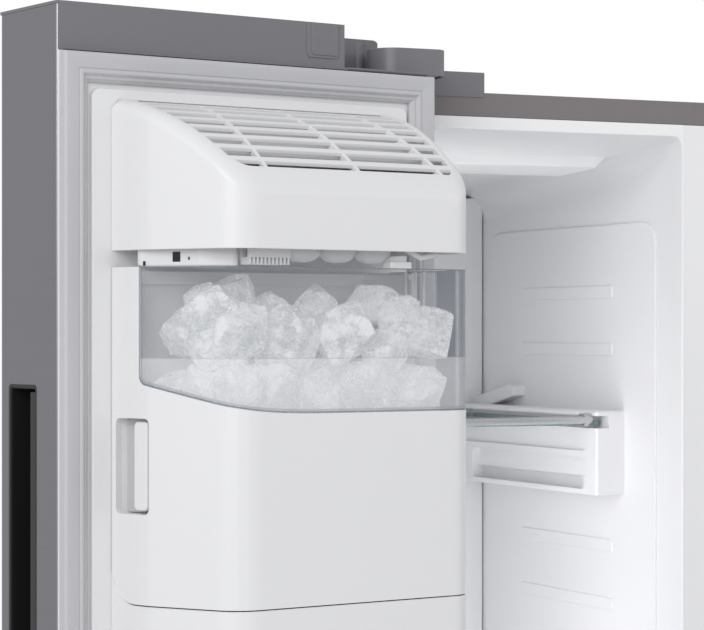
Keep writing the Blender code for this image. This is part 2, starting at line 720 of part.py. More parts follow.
class Door:
    """A door's kind, side, width and the empty on its hinge axis, which carries all of its pieces."""

    def __init__(self, kind, side, width, cabinet):
        self.kind = kind
        self.side = side
        self.width = width
        pivot_x = from_side(side, PIVOT_FROM_SIDE)
        place_at = (pivot_x, PIVOT_Y, 0)
        self.pivot = empty(kind + "_door_hinge_axis", place_at, cabinet, side * OPEN_ANGLE)

    def x(self, u):
        return -self.side * (self.width - PIVOT_FROM_SIDE - u)

    def box(self, u_span, p_span, z_span):
        xs = sorted(self.x(u) for u in u_span)
        low = (xs[0], p_span[0] + PIVOT_FROM_FRAME, z_span[0])
        return (low, (xs[1], p_span[1] + PIVOT_FROM_FRAME, z_span[1]))

    def outline(self, points):
        return [(self.x(u), p + PIVOT_FROM_FRAME) for u, p in points]

    def blocks(self, name, spans, material=None, bevel=0.0):
        return blocks(name, [self.box(*span) for span in spans], material, self.pivot, bevel)

    def prism(self, name, points, low, high, material=None):
        return prism(name, self.outline(points), low, high, "Z", material, self.pivot)

    def point(self, u, p, z):
        return (self.x(u), p + PIVOT_FROM_FRAME, z)


def make_door_shell(door, raised):
    """The steel skin, the foamed liner with its raised parts, the cap, the gasket and the pocket handle."""
    kind, width = door.kind + "_door", door.width
    outer, fold = -DOOR_THICKNESS, SHEET
    skin = door.blocks(kind + "_skin", [((0, width), (outer, -0.5), (DOOR_BOTTOM, SKIN_TOP))], "steel")
    inside = ((fold, width - fold), (outer + fold, 20), (DOOR_BOTTOM + fold, SKIN_TOP + 20))
    hinge_gap = ((width - 5, width + 5), (HINGE_ROOM_P - 5, 20), (CASE_TOP + 1, SKIN_TOP + 5))
    slot = ((-5, 5), (HANDLE_P[0] - FIT, HANDLE_P[1] + FIT), (HANDLE_BOTTOM - FIT, HANDLE_TOP + FIT))
    for part_name, span in (("inside", inside), ("hinge_gap", hinge_gap), ("handle_slot", slot)):
        cut(skin, door.blocks(f"{kind}_skin_{part_name}", [span]))

    clear = fold + FIT
    body = ((clear, width - clear), (outer + clear, 0), (DOOR_BOTTOM + clear, LINER_TOP))
    liner = door.blocks(kind + "_liner", [body], "foamed_door")
    for i, span in enumerate(raised):
        join(liner, door.blocks(f"{kind}_raised_{i}", [span]))
    handle_room = ((-5, HANDLE_DEPTH + FIT), slot[1], slot[2])
    cut(liner, door.blocks(kind + "_handle_room", [handle_room]))

    wall = 2.0
    pocket = ((0, HANDLE_DEPTH), HANDLE_P, (HANDLE_BOTTOM, HANDLE_TOP))
    handle = door.blocks(kind + "_handle", [pocket], "black_plastic")
    grip_p = (HANDLE_P[0] + wall, HANDLE_P[1] - wall)
    grip = ((-5, HANDLE_DEPTH - wall), grip_p, (HANDLE_BOTTOM + wall, HANDLE_TOP - wall))
    cut(handle, door.blocks(kind + "_handle_inside", [grip]))

    cap_body = ((clear, width - clear), (outer + clear, 0), (CAP_BOTTOM, DOOR_TOP - 1))
    cap = door.blocks(kind + "_top_cap", [cap_body], "cap_plastic")
    join(cap, door.blocks(kind + "_cap_rim", [((0, width), (outer, 0), (SKIN_TOP + FIT, DOOR_TOP))]))
    hinge_room = ((width - HINGE_ROOM, width + 5), (HINGE_ROOM_P, 5), (CAP_BOTTOM + 2, DOOR_TOP + 5))
    hollow_z = (CAP_BOTTOM - 5, DOOR_TOP - CAP_RIM)
    hollow = ((clear + 3, width - HINGE_ROOM - 3), (outer + clear + 3, -3), hollow_z)
    cut(cap, door.blocks(kind + "_cap_hinge_room", [hinge_room]), door.blocks(kind + "_cap_hollow", [hollow]))

    seal = ((3, width - 3), (FIT, 10.8), (63, 1730.5))
    seal_mouth = ((GASKET_WIDTH + 3, width - GASKET_WIDTH - 3), (-5, 20), (63 + GASKET_WIDTH, 1709))
    gasket = door.blocks(kind + "_gasket", [seal], "gasket_rubber")
    cut(gasket, door.blocks(kind + "_gasket_mouth", [seal_mouth]))

    for end, low, high in (("top", 1708, 1760), ("bottom", 50, DOOR_BOTTOM + 22)):
        name = f"{kind}_{end}_pin_hole"
        hole = cylinder(name, PIN_HOLE_RADIUS, low, high, (0, 0, 0), "Z", 16, parent=door.pivot)
        cut(liner, hole)
        cut(cap if end == "top" else skin, hole)
    return skin, liner


def bin_shape(door, name, u_span, p_span, z_span, material):
    """An open door bin with a low front and a grab lip."""
    wall = 2.5
    tray = door.blocks(name, [(u_span, p_span, z_span)], material, 3.0)
    (left, right), (back, front), (bottom, top) = u_span, p_span, z_span
    inside = ((left + wall, right - wall), (back + wall, front - wall), (bottom + wall, top + 20))
    low_front = ((left - 5, right + 5), (back + 45, front + 5), (top - 30, top + 5))
    cut(tray, door.blocks(name + "_inside", [inside]), door.blocks(name + "_low_front", [low_front]))


BIN_LEFT = 60.0
BIN_BACK = -25.0


def make_fridge_door(cabinet):
    door = Door("fridge", RIGHT, FRIDGE_DOOR_WIDTH, cabinet)
    dyke = ((38, door.width - 50), (-10, DYKE_P), (MOUTH_BOTTOM + 6, MOUTH_TOP - 6))
    _, liner = make_door_shell(door, [dyke])
    right = door.width - 72
    recess = ((BIN_LEFT, right), (BIN_BACK, DYKE_P + 5), (150, 1660))
    cut(liner, door.blocks("fridge_door_recess", [recess]))
    for name, bottom in (("fridge_door_bin_lower", 420.0), ("fridge_door_bin_upper", 1080.0)):
        span = ((BIN_LEFT + FIT, right - FIT), (BIN_BACK + FIT, BIN_FRONT), (bottom, bottom + 120))
        bin_shape(door, name, *span, "clear_plastic")


def sharp_housing():
    """Plan of the ice housing with sharp corners: a bent left face, a flat front, a straight right side."""
    left = [(HOUSING_LEFT, HOUSING_BACK), HOUSING_BEND, HOUSING_TURN]
    return left + [(HOUSING_RIGHT, HOUSING_FRONT), (HOUSING_RIGHT, HOUSING_BACK)]


def housing_outline(inset=0.0, back=HOUSING_BACK):
    """Plan of the ice housing with rounded front corners, moved in by an inset, its back at p = back."""
    sharp = grown(sharp_housing(), -inset)
    radii = {2: max(HOUSING_TURN_RADIUS - inset, 2.0), 3: max(HOUSING_CORNER_RADIUS - inset, 2.0)}
    points = rounded(sharp, radii)
    (left, low), (bend, bend_p) = points[0], points[1]
    right = points[-1][0]
    if back < low:
        return [(left, back), *points, (right, back)]
    along = (back - low) / (bend_p - low)
    return [(left + (bend - left) * along, back), *points[1:-1], (right, back)]


def make_freezer_door(cabinet):
    door = Door("freezer", LEFT, FREEZER_DOOR_WIDTH, cabinet)
    ridge = ((32, door.width - 31.5), (-10, RIDGE_P), (MOUTH_BOTTOM - 23, RIDGE_TOP))
    dyke = ((HOUSING_LEFT, HOUSING_RIGHT), (-10, DYKE_P), (MOUTH_BOTTOM + 6, HOUSING_BOTTOM + 5))
    skin, liner = make_door_shell(door, [ridge, dyke])
    join(liner, door.prism("lower_housing", housing_outline(0, 0), HOUSING_BOTTOM, BUCKET_BOTTOM - FIT))
    right, back = HOUSING_RIGHT - 23, BIN_BACK + 5
    recess = ((BIN_LEFT, right), (back, DYKE_P + 5), (150, HOUSING_BOTTOM - 30))
    cut(liner, door.blocks("freezer_door_recess", [recess]))
    span = ((BIN_LEFT + FIT, right - FIT), (back + FIT, BIN_FRONT), (330, 450))
    bin_shape(door, "freezer_door_bin", *span, "clear_plastic")
    make_dispenser(door, skin, liner)
    make_ice_cover(door)
    make_ice_maker(door)
    make_bucket(door)


def cover_height(p):
    return COVER_TOP - COVER_FALL * (max(p, 0) / HOUSING_FRONT) ** COVER_CURVE


def above_cover(name, door, lowered):
    """A tool that fills the space over the cover's curved top, or over that curve moved down."""
    end, step = int(HOUSING_FRONT) + 20, 15
    ps = [-20, *range(0, end, step), end]
    curve = [(p + PIVOT_FROM_FRAME, cover_height(p) - lowered) for p in ps]
    high = COVER_TOP + 60
    outline = [*curve, (curve[-1][0], high), (curve[0][0], high)]
    ends = sorted((door.x(HOUSING_LEFT - 20), door.x(HOUSING_RIGHT + 20)))
    return prism(name, outline, ends[0], ends[1], "X", parent=door.pivot)


def make_ice_cover(door):
    """The sculpted cover over the ice maker: a curved top with a slotted grille, open below and behind."""
    wall, vent_count, vent_step, vent_width = 3.0, 5, 13, 8
    cover = door.prism("ice_maker_cover", housing_outline(), COVER_BOTTOM, COVER_TOP + 5, "white_plastic")
    cut(cover, above_cover("cover_slope", door, 0))
    room = door.prism("cover_room", housing_outline(wall, 0), COVER_BOTTOM - 5, COVER_TOP + 5)
    cut(room, above_cover("room_slope", door, wall * 1.25))
    cut(cover, room)
    vents = []
    for i in range(vent_count):
        p = 44 + i * vent_step
        height = cover_height(p + vent_width / 2)
        vents.append(((130 + i * 4, 330), (p, p + vent_width), (height - 20, height + 20)))
    cut(cover, door.blocks("cover_vents", vents))


TRAY_P = 70.0
TRAY_Z = 1601.0


def make_ice_maker(door):
    """The ice maker's motor box and frame, and the twist tray that hangs between them."""
    left, right, back, front = 138, 344, 28, 112
    maker = door.blocks("ice_maker", [((100, 140), (30, front), (1556, 1626))], "white_plastic")
    bar_z = (1590, 1602)
    frame = [((left, right), (back, back + 5), bar_z), ((left, right), (front - 5, front), bar_z)]
    frame.append(((right - 6, right), (back, front), (1590, 1614)))
    join(maker, *[door.blocks(f"maker_frame_{i}", [bar]) for i, bar in enumerate(frame)])
    low, high = TRAY_Z - 14, TRAY_Z + 10
    tray = door.blocks("ice_tray", [((150, 328), (44, 96), (low, high))], "liner_white")
    cups = []
    for row in range(2):
        for column in range(5):
            u, p = 153 + column * 35, 47 + row * 24.5
            cups.append(((u, u + 32), (p, p + 21.5), (low + 3, high + 10)))
    cut(tray, door.blocks("ice_cups", cups))
    pin_p, pin_z = (TRAY_P - 3, TRAY_P + 3), (TRAY_Z - 3, TRAY_Z + 3)
    join(tray, door.blocks("tray_pins", [((144, 151), pin_p, pin_z), ((327, 334), pin_p, pin_z)]))


AGITATOR_U = 225.0
AGITATOR_P = 78.0
LATCH_Z = (1341.0, 1423.0)


LATCH_POCKET = (5.5, 46.0)
LATCH_GRIP = (25.0, 41.5)
LATCH_HINGE = (26.0, 6.0)


def on_slant(distance, depth):
    """The (u, p) point at a distance along the housing's left face and at a depth under it."""
    start = Vector((HOUSING_LEFT, HOUSING_BACK))
    along = (Vector(HOUSING_BEND) - start).normalized()
    out = Vector((-along.y, along.x))
    return tuple(start + along * distance - out * depth)


def make_bucket(door):
    """The ice bucket, its clear window, its agitator and its release latch."""
    wall, thick_wall = 4.0, 22.0
    back = HOUSING_BACK + 0.8
    back_wall = back + 3
    top = WINDOW_BOTTOM - FIT
    bucket = door.prism("ice_bucket", housing_outline(0, back), BUCKET_BOTTOM, top, "white_plastic")
    panel = ((HOUSING_LEFT + 4, HOUSING_RIGHT - 4), (back, back_wall), (WINDOW_BOTTOM - 20, BUCKET_TOP))
    join(bucket, door.blocks("bucket_back", [panel]))
    hopper_outline = housing_outline(thick_wall, back_wall)
    cut(bucket, door.prism("bucket_hopper", hopper_outline, BUCKET_BOTTOM + 5, WINDOW_BOTTOM + 5))
    funnel_outline = housing_outline(wall, back_wall)
    funnel = door.prism("bucket_funnel", funnel_outline, LATCH_Z[1] - 60, WINDOW_BOTTOM + 5)
    kept_u, kept_p = (HOUSING_LEFT - 5, HOUSING_LEFT + 75), (-15, HOUSING_FRONT + 5)
    cut(funnel, door.blocks("latch_wall", [(kept_u, kept_p, (LATCH_Z[0] - 30, LATCH_Z[1] + 4))]))
    near, far = LATCH_POCKET
    pocket = [on_slant(near, 20), on_slant(near, -5), on_slant(far, -5), on_slant(far, 20)]
    cut(bucket, funnel, door.prism("latch_pocket", pocket, LATCH_Z[0], LATCH_Z[1]))
    exit_u, exit_p = (AGITATOR_U - 26, AGITATOR_U + 26), (AGITATOR_P + 6, AGITATOR_P + 28)
    cut(bucket, door.blocks("bucket_exit", [(exit_u, exit_p, (BUCKET_BOTTOM - 5, BUCKET_BOTTOM + 20))]))

    window_outline = housing_outline(0, back_wall + 0.5)
    window = door.prism("bucket_window", window_outline, WINDOW_BOTTOM, BUCKET_TOP, "clear_plastic")
    cut(window, door.prism("window_inside", housing_outline(3, -5), WINDOW_BOTTOM - 5, BUCKET_TOP + 5))
    make_agitator(door)
    make_latch(door)


def make_agitator(door):
    x, y, _ = door.point(AGITATOR_U, AGITATOR_P, 0)
    low, reach, half = BUCKET_BOTTOM + 6, 24, 4
    agitator = cylinder("ice_auger", 6, low, low + 110, (x, y, 0), "Z", 16, "bright_metal", door.pivot)
    bars = []
    for height, (dx, dy) in ((low + 4, (reach, half)), (low + 34, (half, reach)), (low + 64, (reach, half))):
        bars.append(((x - dx, y - dy, height), (x + dx, y + dy, height + 5)))
    join(agitator, blocks("auger_bars", bars, parent=door.pivot))


def make_latch(door):
    """The grip in the pocket of the bucket's left face, with its origin on its hinge line."""
    centre = Vector(door.outline([on_slant(*LATCH_HINGE)])[0])
    near, far = LATCH_GRIP
    grip = [on_slant(near, 9), on_slant(near, 3), on_slant(far, 3), on_slant(far, 9)]
    local = [tuple(Vector(point) - centre) for point in door.outline(grip)]
    low, high = LATCH_Z[0] + 3, LATCH_Z[1] - 3
    latch = prism("bucket_latch", local, low, high, "Z", "white_plastic", door.pivot)
    latch.location += Vector((centre.x, centre.y, 0)) * MM


PADDLE_P = -62.0
PADDLE_Z = 1150.0


def make_dispenser(door, skin, liner):
    """The outside niche for ice and water, with its chute, paddle and drip tray."""
    outer = -DOOR_THICKNESS
    back = outer + NICHE_DEPTH
    shell_wall, bezel_wall = 2.5, 12.0
    (left, right), (bottom, top) = NICHE_U, NICHE_Z
    grow = shell_wall + FIT
    hole = ((left - grow, right + grow), (outer - 5, back + grow), (bottom - grow, top + grow))
    niche_hole = door.blocks("niche_hole", [hole])
    cut(skin, niche_hole)
    cut(liner, niche_hole)
    grow = shell_wall
    shell = ((left - grow, right + grow), (outer - 1, back + grow), (bottom - grow, top + grow))
    housing = door.blocks("dispenser_housing", [shell], "black_plastic")
    grow = bezel_wall
    bezel = ((left - grow, right + grow), (outer - 2.5, outer - FIT), (bottom - grow, top + 60))
    join(housing, door.blocks("dispenser_bezel", [bezel]))
    cut(housing, door.blocks("niche_room", [(NICHE_U, (outer - 10, back), NICHE_Z)]))

    chute = [(AGITATOR_P + 34, BUCKET_BOTTOM + 3), (AGITATOR_P + 2, BUCKET_BOTTOM + 3)]
    chute += [(back - 36, top - 4), (back - 4, top - 4)]
    chute = [(p + PIVOT_FROM_FRAME, z) for p, z in chute]
    ends = sorted((door.x(AGITATOR_U - 24), door.x(AGITATOR_U + 24)))
    passage = prism("ice_chute", chute, ends[0], ends[1], "X", parent=door.pivot)
    cut(liner, passage)
    cut(housing, passage)

    x, y, z = door.point(200, PADDLE_P, PADDLE_Z)
    plate = ((x - 24, y - 2, z - 100), (x + 24, y + 2, z))
    paddle = blocks("dispenser_paddle", [plate], "cap_plastic", door.pivot)
    join(paddle, cylinder("paddle_pin", 4, -34, 34, (x, y, z), "X", 16, parent=door.pivot))
    tray = ((left + 8, right - 8), (outer + 2, back - 6), (bottom + 0.5, bottom + 14))
    well = ((left + 11, right - 11), (outer + 5, back - 9), (bottom + 3, bottom + 30))
    drip_tray = door.blocks("drip_tray", [tray], "cap_plastic")
    cut(drip_tray, door.blocks("drip_well", [well]))


def frame_origin():
    """Where the floor point under the middle of the open object's outer box lies, in cabinet coordinates."""
    turn = math.radians(180 - OPEN_ANGLE)
    edges = []
    fronts = []
    for side, width, inner_points in (
        (LEFT, FREEZER_DOOR_WIDTH, housing_outline()),
        (RIGHT, FRIDGE_DOOR_WIDTH, [(BIN_LEFT + FIT, BIN_FRONT)]),
    ):
        reach = width - PIVOT_FROM_SIDE
        back_edge = DOOR_THICKNESS - PIVOT_FROM_FRAME
        sideways = reach * math.cos(turn) + back_edge * math.sin(turn)
        edges.append(from_side(side, PIVOT_FROM_SIDE) + side * sideways)
        for u, p in inner_points:
            forward = (reach - u) * math.sin(turn) + (p + PIVOT_FROM_FRAME) * math.cos(turn)
            fronts.append(PIVOT_Y - forward)
    return sum(edges) / 2, (min(fronts) + CASE_DEPTH) / 2


clear_scene()
PARTS = new_collection("side_by_side_refrigerator")
TOOLS = new_collection("cutters")
MATERIALS = {name: make_material(name) for name in COLOURS}


def main():
    origin_x, origin_y = frame_origin()
    cabinet = empty("cabinet_origin", (-origin_x, -origin_y, 0))
    make_case(cabinet)
    make_insulation(cabinet)
    make_liners(cabinet)
    make_storage(cabinet)
    make_lights(cabinet)
    make_cooling(cabinet)
    make_base(cabinet)
    make_machine_room(cabinet)
    for kind, side in (("freezer", LEFT), ("fridge", RIGHT)):
        make_hinges(cabinet, kind, side)
    make_freezer_door(cabinet)
    make_fridge_door(cabinet)


main()
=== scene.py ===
"""Looks of the side by side refrigerator: its shells, seals, interior, ice and every surface.

All sizes are in millimetres, in the coordinates of the cabinet (x, y, z) or of a door (u, p, z). A door's u
runs from its free edge to its hinge side, and its p from its inner frame into the compartment.
"""

import json
import math
import random

import bmesh
import bpy
from mathutils import Matrix, Vector, noise

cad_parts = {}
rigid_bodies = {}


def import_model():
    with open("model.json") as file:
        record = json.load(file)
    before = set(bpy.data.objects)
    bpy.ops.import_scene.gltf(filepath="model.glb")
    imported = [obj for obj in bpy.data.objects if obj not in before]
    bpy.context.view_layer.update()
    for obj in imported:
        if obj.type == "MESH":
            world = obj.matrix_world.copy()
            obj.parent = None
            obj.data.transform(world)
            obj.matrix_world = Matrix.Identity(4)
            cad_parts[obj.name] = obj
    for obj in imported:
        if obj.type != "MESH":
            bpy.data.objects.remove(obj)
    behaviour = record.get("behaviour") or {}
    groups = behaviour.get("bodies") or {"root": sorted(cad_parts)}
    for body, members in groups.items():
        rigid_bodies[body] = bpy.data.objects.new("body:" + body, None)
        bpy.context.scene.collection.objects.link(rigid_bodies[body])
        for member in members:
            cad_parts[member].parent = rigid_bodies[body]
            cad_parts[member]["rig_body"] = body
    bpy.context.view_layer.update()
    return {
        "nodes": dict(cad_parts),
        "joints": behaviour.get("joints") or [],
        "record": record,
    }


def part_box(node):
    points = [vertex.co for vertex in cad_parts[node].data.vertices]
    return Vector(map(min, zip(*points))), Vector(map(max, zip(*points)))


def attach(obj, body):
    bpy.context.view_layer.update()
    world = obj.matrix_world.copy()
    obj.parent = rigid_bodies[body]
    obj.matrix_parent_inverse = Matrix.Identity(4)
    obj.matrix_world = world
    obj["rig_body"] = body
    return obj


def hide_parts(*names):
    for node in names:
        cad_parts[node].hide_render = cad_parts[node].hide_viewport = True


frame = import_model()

MM = 0.001
NODES = frame["nodes"]
JOINTS = {joint["name"]: joint for joint in frame["joints"]}


# Places, all worked out from the frame


def box_mm(node):
    """The lowest and highest corner of a CAD node."""
    low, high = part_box(node)
    return low / MM, high / MM


CASE_LOW, CASE_HIGH = box_mm("outer_case")
HALF = (CASE_HIGH.x - CASE_LOW.x) / 2
CASE_TOP = CASE_HIGH.z
CABINET_X = (CASE_HIGH.x + CASE_LOW.x) / 2
CABINET_Y = box_mm("top_rail")[0].y
DOOR_BOTTOM = box_mm("freezer_door_skin")[0].z
SKIN_TOP = box_mm("freezer_door_skin")[1].z
DOOR_TOP = box_mm("freezer_door_top_cap")[1].z
CAP_BOTTOM = box_mm("freezer_door_top_cap")[0].z
OPEN_ANGLE = -JOINTS["freezer_door_swing"]["range_deg"][0]
STRIP_BOTTOM = box_mm("top_rail")[0].z
MULLION = [edge.x - CABINET_X for edge in box_mm("mullion_cover")]

DOOR_THICKNESS = 104.0
FREEZER_WIDTH, FRIDGE_WIDTH = 400.0, 508.0
SHEET = 1.2
LINER_WALL = 2.0
FREEZER_X = (-HALF + 42.0, MULLION[0] - 2.3)
FRIDGE_X = (MULLION[1] + 2.3, HALF - 42.0)
MOUTH_Z = (120.0, 1700.0)
PIVOT_FROM_FRAME = 50.0
PIVOT_FROM_SIDE = 12.0
LEFT, RIGHT = -1, 1

# The ice housing on the freezer door
HOUSING_LEFT, HOUSING_RIGHT = 50.5, 351.0
HOUSING_BACK, HOUSING_FRONT = 5.0, 131.0
HOUSING_BEND = (61.0, 50.0)
HOUSING_TURN = (99.9, HOUSING_FRONT)
TURN_RADIUS, CORNER_RADIUS = 34.0, 22.0
RIDGE_P = 4.5
COVER_BOTTOM = box_mm("ice_maker_cover")[0].z
COVER_TOP, COVER_FALL, COVER_CURVE = 1698.0, 74.4, 1.85
BUCKET_BOTTOM = box_mm("ice_bucket")[0].z
BUCKET_TOP = box_mm("bucket_window")[1].z + 2.5
HOUSING_BOTTOM = 640.0


class Space:
    """Millimetre coordinates fixed to the cabinet or to a door."""

    def __init__(self, body, matrix, side=0, width=0.0):
        self.body = body
        self.matrix = matrix
        self.side = side
        self.width = width
        self.mirrored = side == LEFT

    def local(self, point):
        """A point in the local metres of the space's body."""
        x, y, z = point
        if self.side:
            x = -self.side * (self.width - PIVOT_FROM_SIDE - x)
            y = y + PIVOT_FROM_FRAME
        return Vector((x, y, z)) * MM


def door_space(kind, side):
    """The space of a door, turned open as it stands at rest."""
    joint = JOINTS[kind + "_door_swing"]
    width = FREEZER_WIDTH if side == LEFT else FRIDGE_WIDTH
    pivot = Vector((joint["pos_m"][0], joint["pos_m"][1], 0))
    turn = Matrix.Rotation(math.radians(side * OPEN_ANGLE), 4, "Z")
    return Space(kind + "_door", Matrix.Translation(pivot) @ turn, side, width)


CABINET = Space("cabinet", Matrix.Translation((CABINET_X * MM, CABINET_Y * MM, 0)))
FREEZER = door_space("freezer", LEFT)
FRIDGE = door_space("fridge", RIGHT)


# Materials


class Nodes:
    """A short way to build a material's node tree."""

    def __init__(self, name):
        self.material = bpy.data.materials.new(name)
        self.material.use_nodes = True
        self.tree = self.material.node_tree
        self.shader = self.tree.nodes["Principled BSDF"]
        self.coordinates = self.tree.nodes.new("ShaderNodeTexCoord").outputs["Object"]

    def add(self, kind, inputs=(), **settings):
        node = self.tree.nodes.new("ShaderNode" + kind)
        for key, value in settings.items():
            setattr(node, key, value)
        for key, value in dict(inputs).items():
            if isinstance(value, bpy.types.NodeSocket):
                self.tree.links.new(value, node.inputs[key])
            else:
                node.inputs[key].default_value = value
        return node

    def link(self, source, key):
        self.tree.links.new(source, self.shader.inputs[key])

    def preset(self, values):
        for key, value in values.items():
            self.shader.inputs[key].default_value = value

    def stretched(self, scale):
        return self.add("Mapping", {"Vector": self.coordinates, "Scale": scale}).outputs["Vector"]

    def noise(self, scale, detail=3.0, stretch=None, roughness=0.5):
        where = self.stretched(stretch) if stretch else self.coordinates
        inputs = {"Vector": where, "Scale": scale, "Detail": detail, "Roughness": roughness}
        return self.add("TexNoise", inputs).outputs["Fac"]

    def between(self, factor, low, high):
        inputs = {"Value": factor, "From Min": 0.25, "From Max": 0.75, "To Min": low, "To Max": high}
        return self.add("MapRange", inputs).outputs["Result"]

    def mixed(self, factor, first, second):
        node = self.add("Mix", {"Factor": factor}, data_type="RGBA")
        for key, value in ((6, first), (7, second)):
            if isinstance(value, bpy.types.NodeSocket):
                self.tree.links.new(value, node.inputs[key])
            else:
                node.inputs[key].default_value = (*value, 1.0)
        return node.outputs[2]

    def bump(self, height, strength, distance, normal=None):
        inputs = {"Height": height, "Strength": strength, "Distance": distance}
        if normal is not None:
            inputs["Normal"] = normal
        return self.add("Bump", inputs).outputs["Normal"]


def shaded(colour, amount):
    """A colour made darker or lighter."""
    return tuple(min(1.0, max(0.0, c * amount)) for c in colour)


def moulded(name, colour, rough, grain=900.0, relief=0.05, mottle=0.03):
    """Moulded plastic, paint or rubber: fine surface grain, a slow change of colour and an uneven gloss."""
    nodes = Nodes(name)
    fine = nodes.noise(grain, 2.0)
    slow = nodes.noise(6.0, 2.0)
    tint = nodes.mixed(slow, shaded(colour, 1 - mottle), shaded(colour, 1 + mottle))
    speck = nodes.between(fine, 0.0, mottle * 1.5)
    nodes.link(nodes.mixed(speck, tint, shaded(colour, 0.7)), "Base Color")
    nodes.link(nodes.between(slow, rough * 0.9, rough * 1.1), "Roughness")
    nodes.link(nodes.bump(fine, relief, 0.0002), "Normal")
    return nodes.material


def grained(name, colour, rough, cell, relief, mottle=0.12):
    """Plastic with a leather-like or spark-eroded grain."""
    nodes = Nodes(name)
    cells = nodes.add("TexVoronoi", {"Vector": nodes.coordinates, "Scale": cell}, feature="SMOOTH_F1")
    fine = nodes.noise(cell * 1.7, 4.0, roughness=0.7)
    height = nodes.add("Math", {0: cells.outputs["Distance"], 1: fine}, operation="ADD").outputs["Value"]
    share = nodes.between(fine, 0.0, 1.0)
    nodes.link(nodes.mixed(share, shaded(colour, 1 - mottle), shaded(colour, 1 + mottle)), "Base Color")
    nodes.link(nodes.between(nodes.noise(9.0), rough * 0.92, rough * 1.08), "Roughness")
    nodes.link(nodes.bump(height, relief, 0.0004), "Normal")
    return nodes.material


def brushed(name, colour, rough, stretch, relief=0.25, contrast=0.10):
    """Brushed metal: long fine scratches, a second set of fainter ones and slow streaks in the gloss."""
    nodes = Nodes(name)
    scratches = nodes.noise(1.0, 5.0, stretch, 0.75)
    faint = nodes.noise(2.7, 3.0, stretch, 0.6)
    both = nodes.add("Math", {0: scratches, 1: faint}, operation="ADD").outputs["Value"]
    half = nodes.add("Math", {0: both, 1: 0.5}, operation="MULTIPLY").outputs["Value"]
    share = nodes.between(half, 0.0, 1.0)
    nodes.link(nodes.mixed(share, shaded(colour, 1 - contrast), shaded(colour, 1 + contrast)), "Base Color")
    nodes.link(nodes.between(scratches, rough * 0.85, rough * 1.15), "Roughness")
    nodes.link(nodes.bump(half, relief, 0.00006), "Normal")
    nodes.preset({"Metallic": 1.0, "Anisotropic": 0.4})
    return nodes.material


def clear(name, colour, alpha, rough=0.08, streak=0.03, relief=0.02):
    """Thin clear or hazy plastic and glass, seen through by its alpha, with faint moulding streaks."""
    nodes = Nodes(name)
    flow = nodes.noise(14.0, 3.0, (1.0, 1.0, 0.35))
    nodes.link(nodes.mixed(flow, shaded(colour, 1 - streak), shaded(colour, 1 + streak)), "Base Color")
    nodes.link(nodes.between(flow, rough * 0.8, rough * 1.2), "Roughness")
    nodes.link(nodes.bump(flow, relief, 0.0005), "Normal")
    nodes.preset({"Alpha": alpha, "IOR": 1.49})
    return nodes.material


def ice_material():
    """Ice: a clear wavy skin with cracks, a cloudy white heart and a faint painted glow."""
    nodes = Nodes("ice")
    milk = nodes.noise(42.0, 6.0, roughness=0.7)
    cloud = nodes.add("MapRange", {"Value": milk, "From Min": 0.32, "From Max": 0.66}).outputs["Result"]
    cracks = nodes.add("TexVoronoi", {"Vector": nodes.coordinates, "Scale": 75.0}, feature="DISTANCE_TO_EDGE")
    thin = {"Value": cracks.outputs["Distance"], "From Max": 0.06, "To Min": 1.0, "To Max": 0.0}
    crack = nodes.add("MapRange", thin)
    tint = nodes.mixed(nodes.between(cloud, 0.0, 1.0), (0.80, 0.815, 0.83), (0.97, 0.97, 0.975))
    nodes.link(nodes.mixed(crack.outputs["Result"], tint, (1.0, 1.0, 1.0)), "Base Color")
    nodes.link(nodes.between(cloud, 0.9, 0.1), "Transmission Weight")
    nodes.link(nodes.between(nodes.noise(30.0, 4.0), 0.03, 0.22), "Roughness")
    chips = nodes.add("TexVoronoi", {"Vector": nodes.coordinates, "Scale": 130.0}, feature="F1")
    ripple = nodes.bump(nodes.noise(55.0, 6.0, roughness=0.65), 1.0, 0.004)
    chipped = nodes.bump(chips.outputs["Distance"], 0.35, 0.0012, ripple)
    nodes.link(nodes.bump(crack.outputs["Result"], 0.4, 0.0008, chipped), "Normal")
    # The faint white emission is a painted glow that lifts the ice out of the bucket's shade; ice gives no
    # light.
    nodes.preset({"IOR": 1.31, "Emission Color": (0.98, 0.985, 1.0, 1.0), "Emission Strength": 0.10})
    nodes.preset({"Subsurface Weight": 0.25, "Subsurface Scale": 0.012})
    nodes.preset({"Subsurface Radius": (1.0, 1.0, 1.0)})
    return nodes.material


def foam_material():
    """Insulating foam: small pale yellow cells."""
    nodes = Nodes("foam")
    cells = nodes.add("TexVoronoi", {"Vector": nodes.coordinates, "Scale": 420.0})
    nodes.link(nodes.mixed(cells.outputs["Distance"], (0.72, 0.63, 0.38), (0.86, 0.79, 0.55)), "Base Color")
    nodes.link(nodes.bump(cells.outputs["Distance"], 0.4, 0.001), "Normal")
    nodes.preset({"Roughness": 0.9})
    return nodes.material


def spangled(name, colour):
    """Galvanised sheet: flat crystal patches of slightly different gray."""
    nodes = Nodes(name)
    cells = nodes.add("TexVoronoi", {"Vector": nodes.coordinates, "Scale": 140.0, "Randomness": 1.0})
    value = nodes.add("SeparateColor", {"Color": cells.outputs["Color"]}).outputs["Red"]
    nodes.link(nodes.mixed(value, shaded(colour, 0.93), shaded(colour, 1.05)), "Base Color")
    nodes.link(nodes.between(value, 0.38, 0.46), "Roughness")
    nodes.link(nodes.bump(nodes.noise(600.0), 0.08, 0.0002), "Normal")
    nodes.preset({"Metallic": 1.0})
    return nodes.material


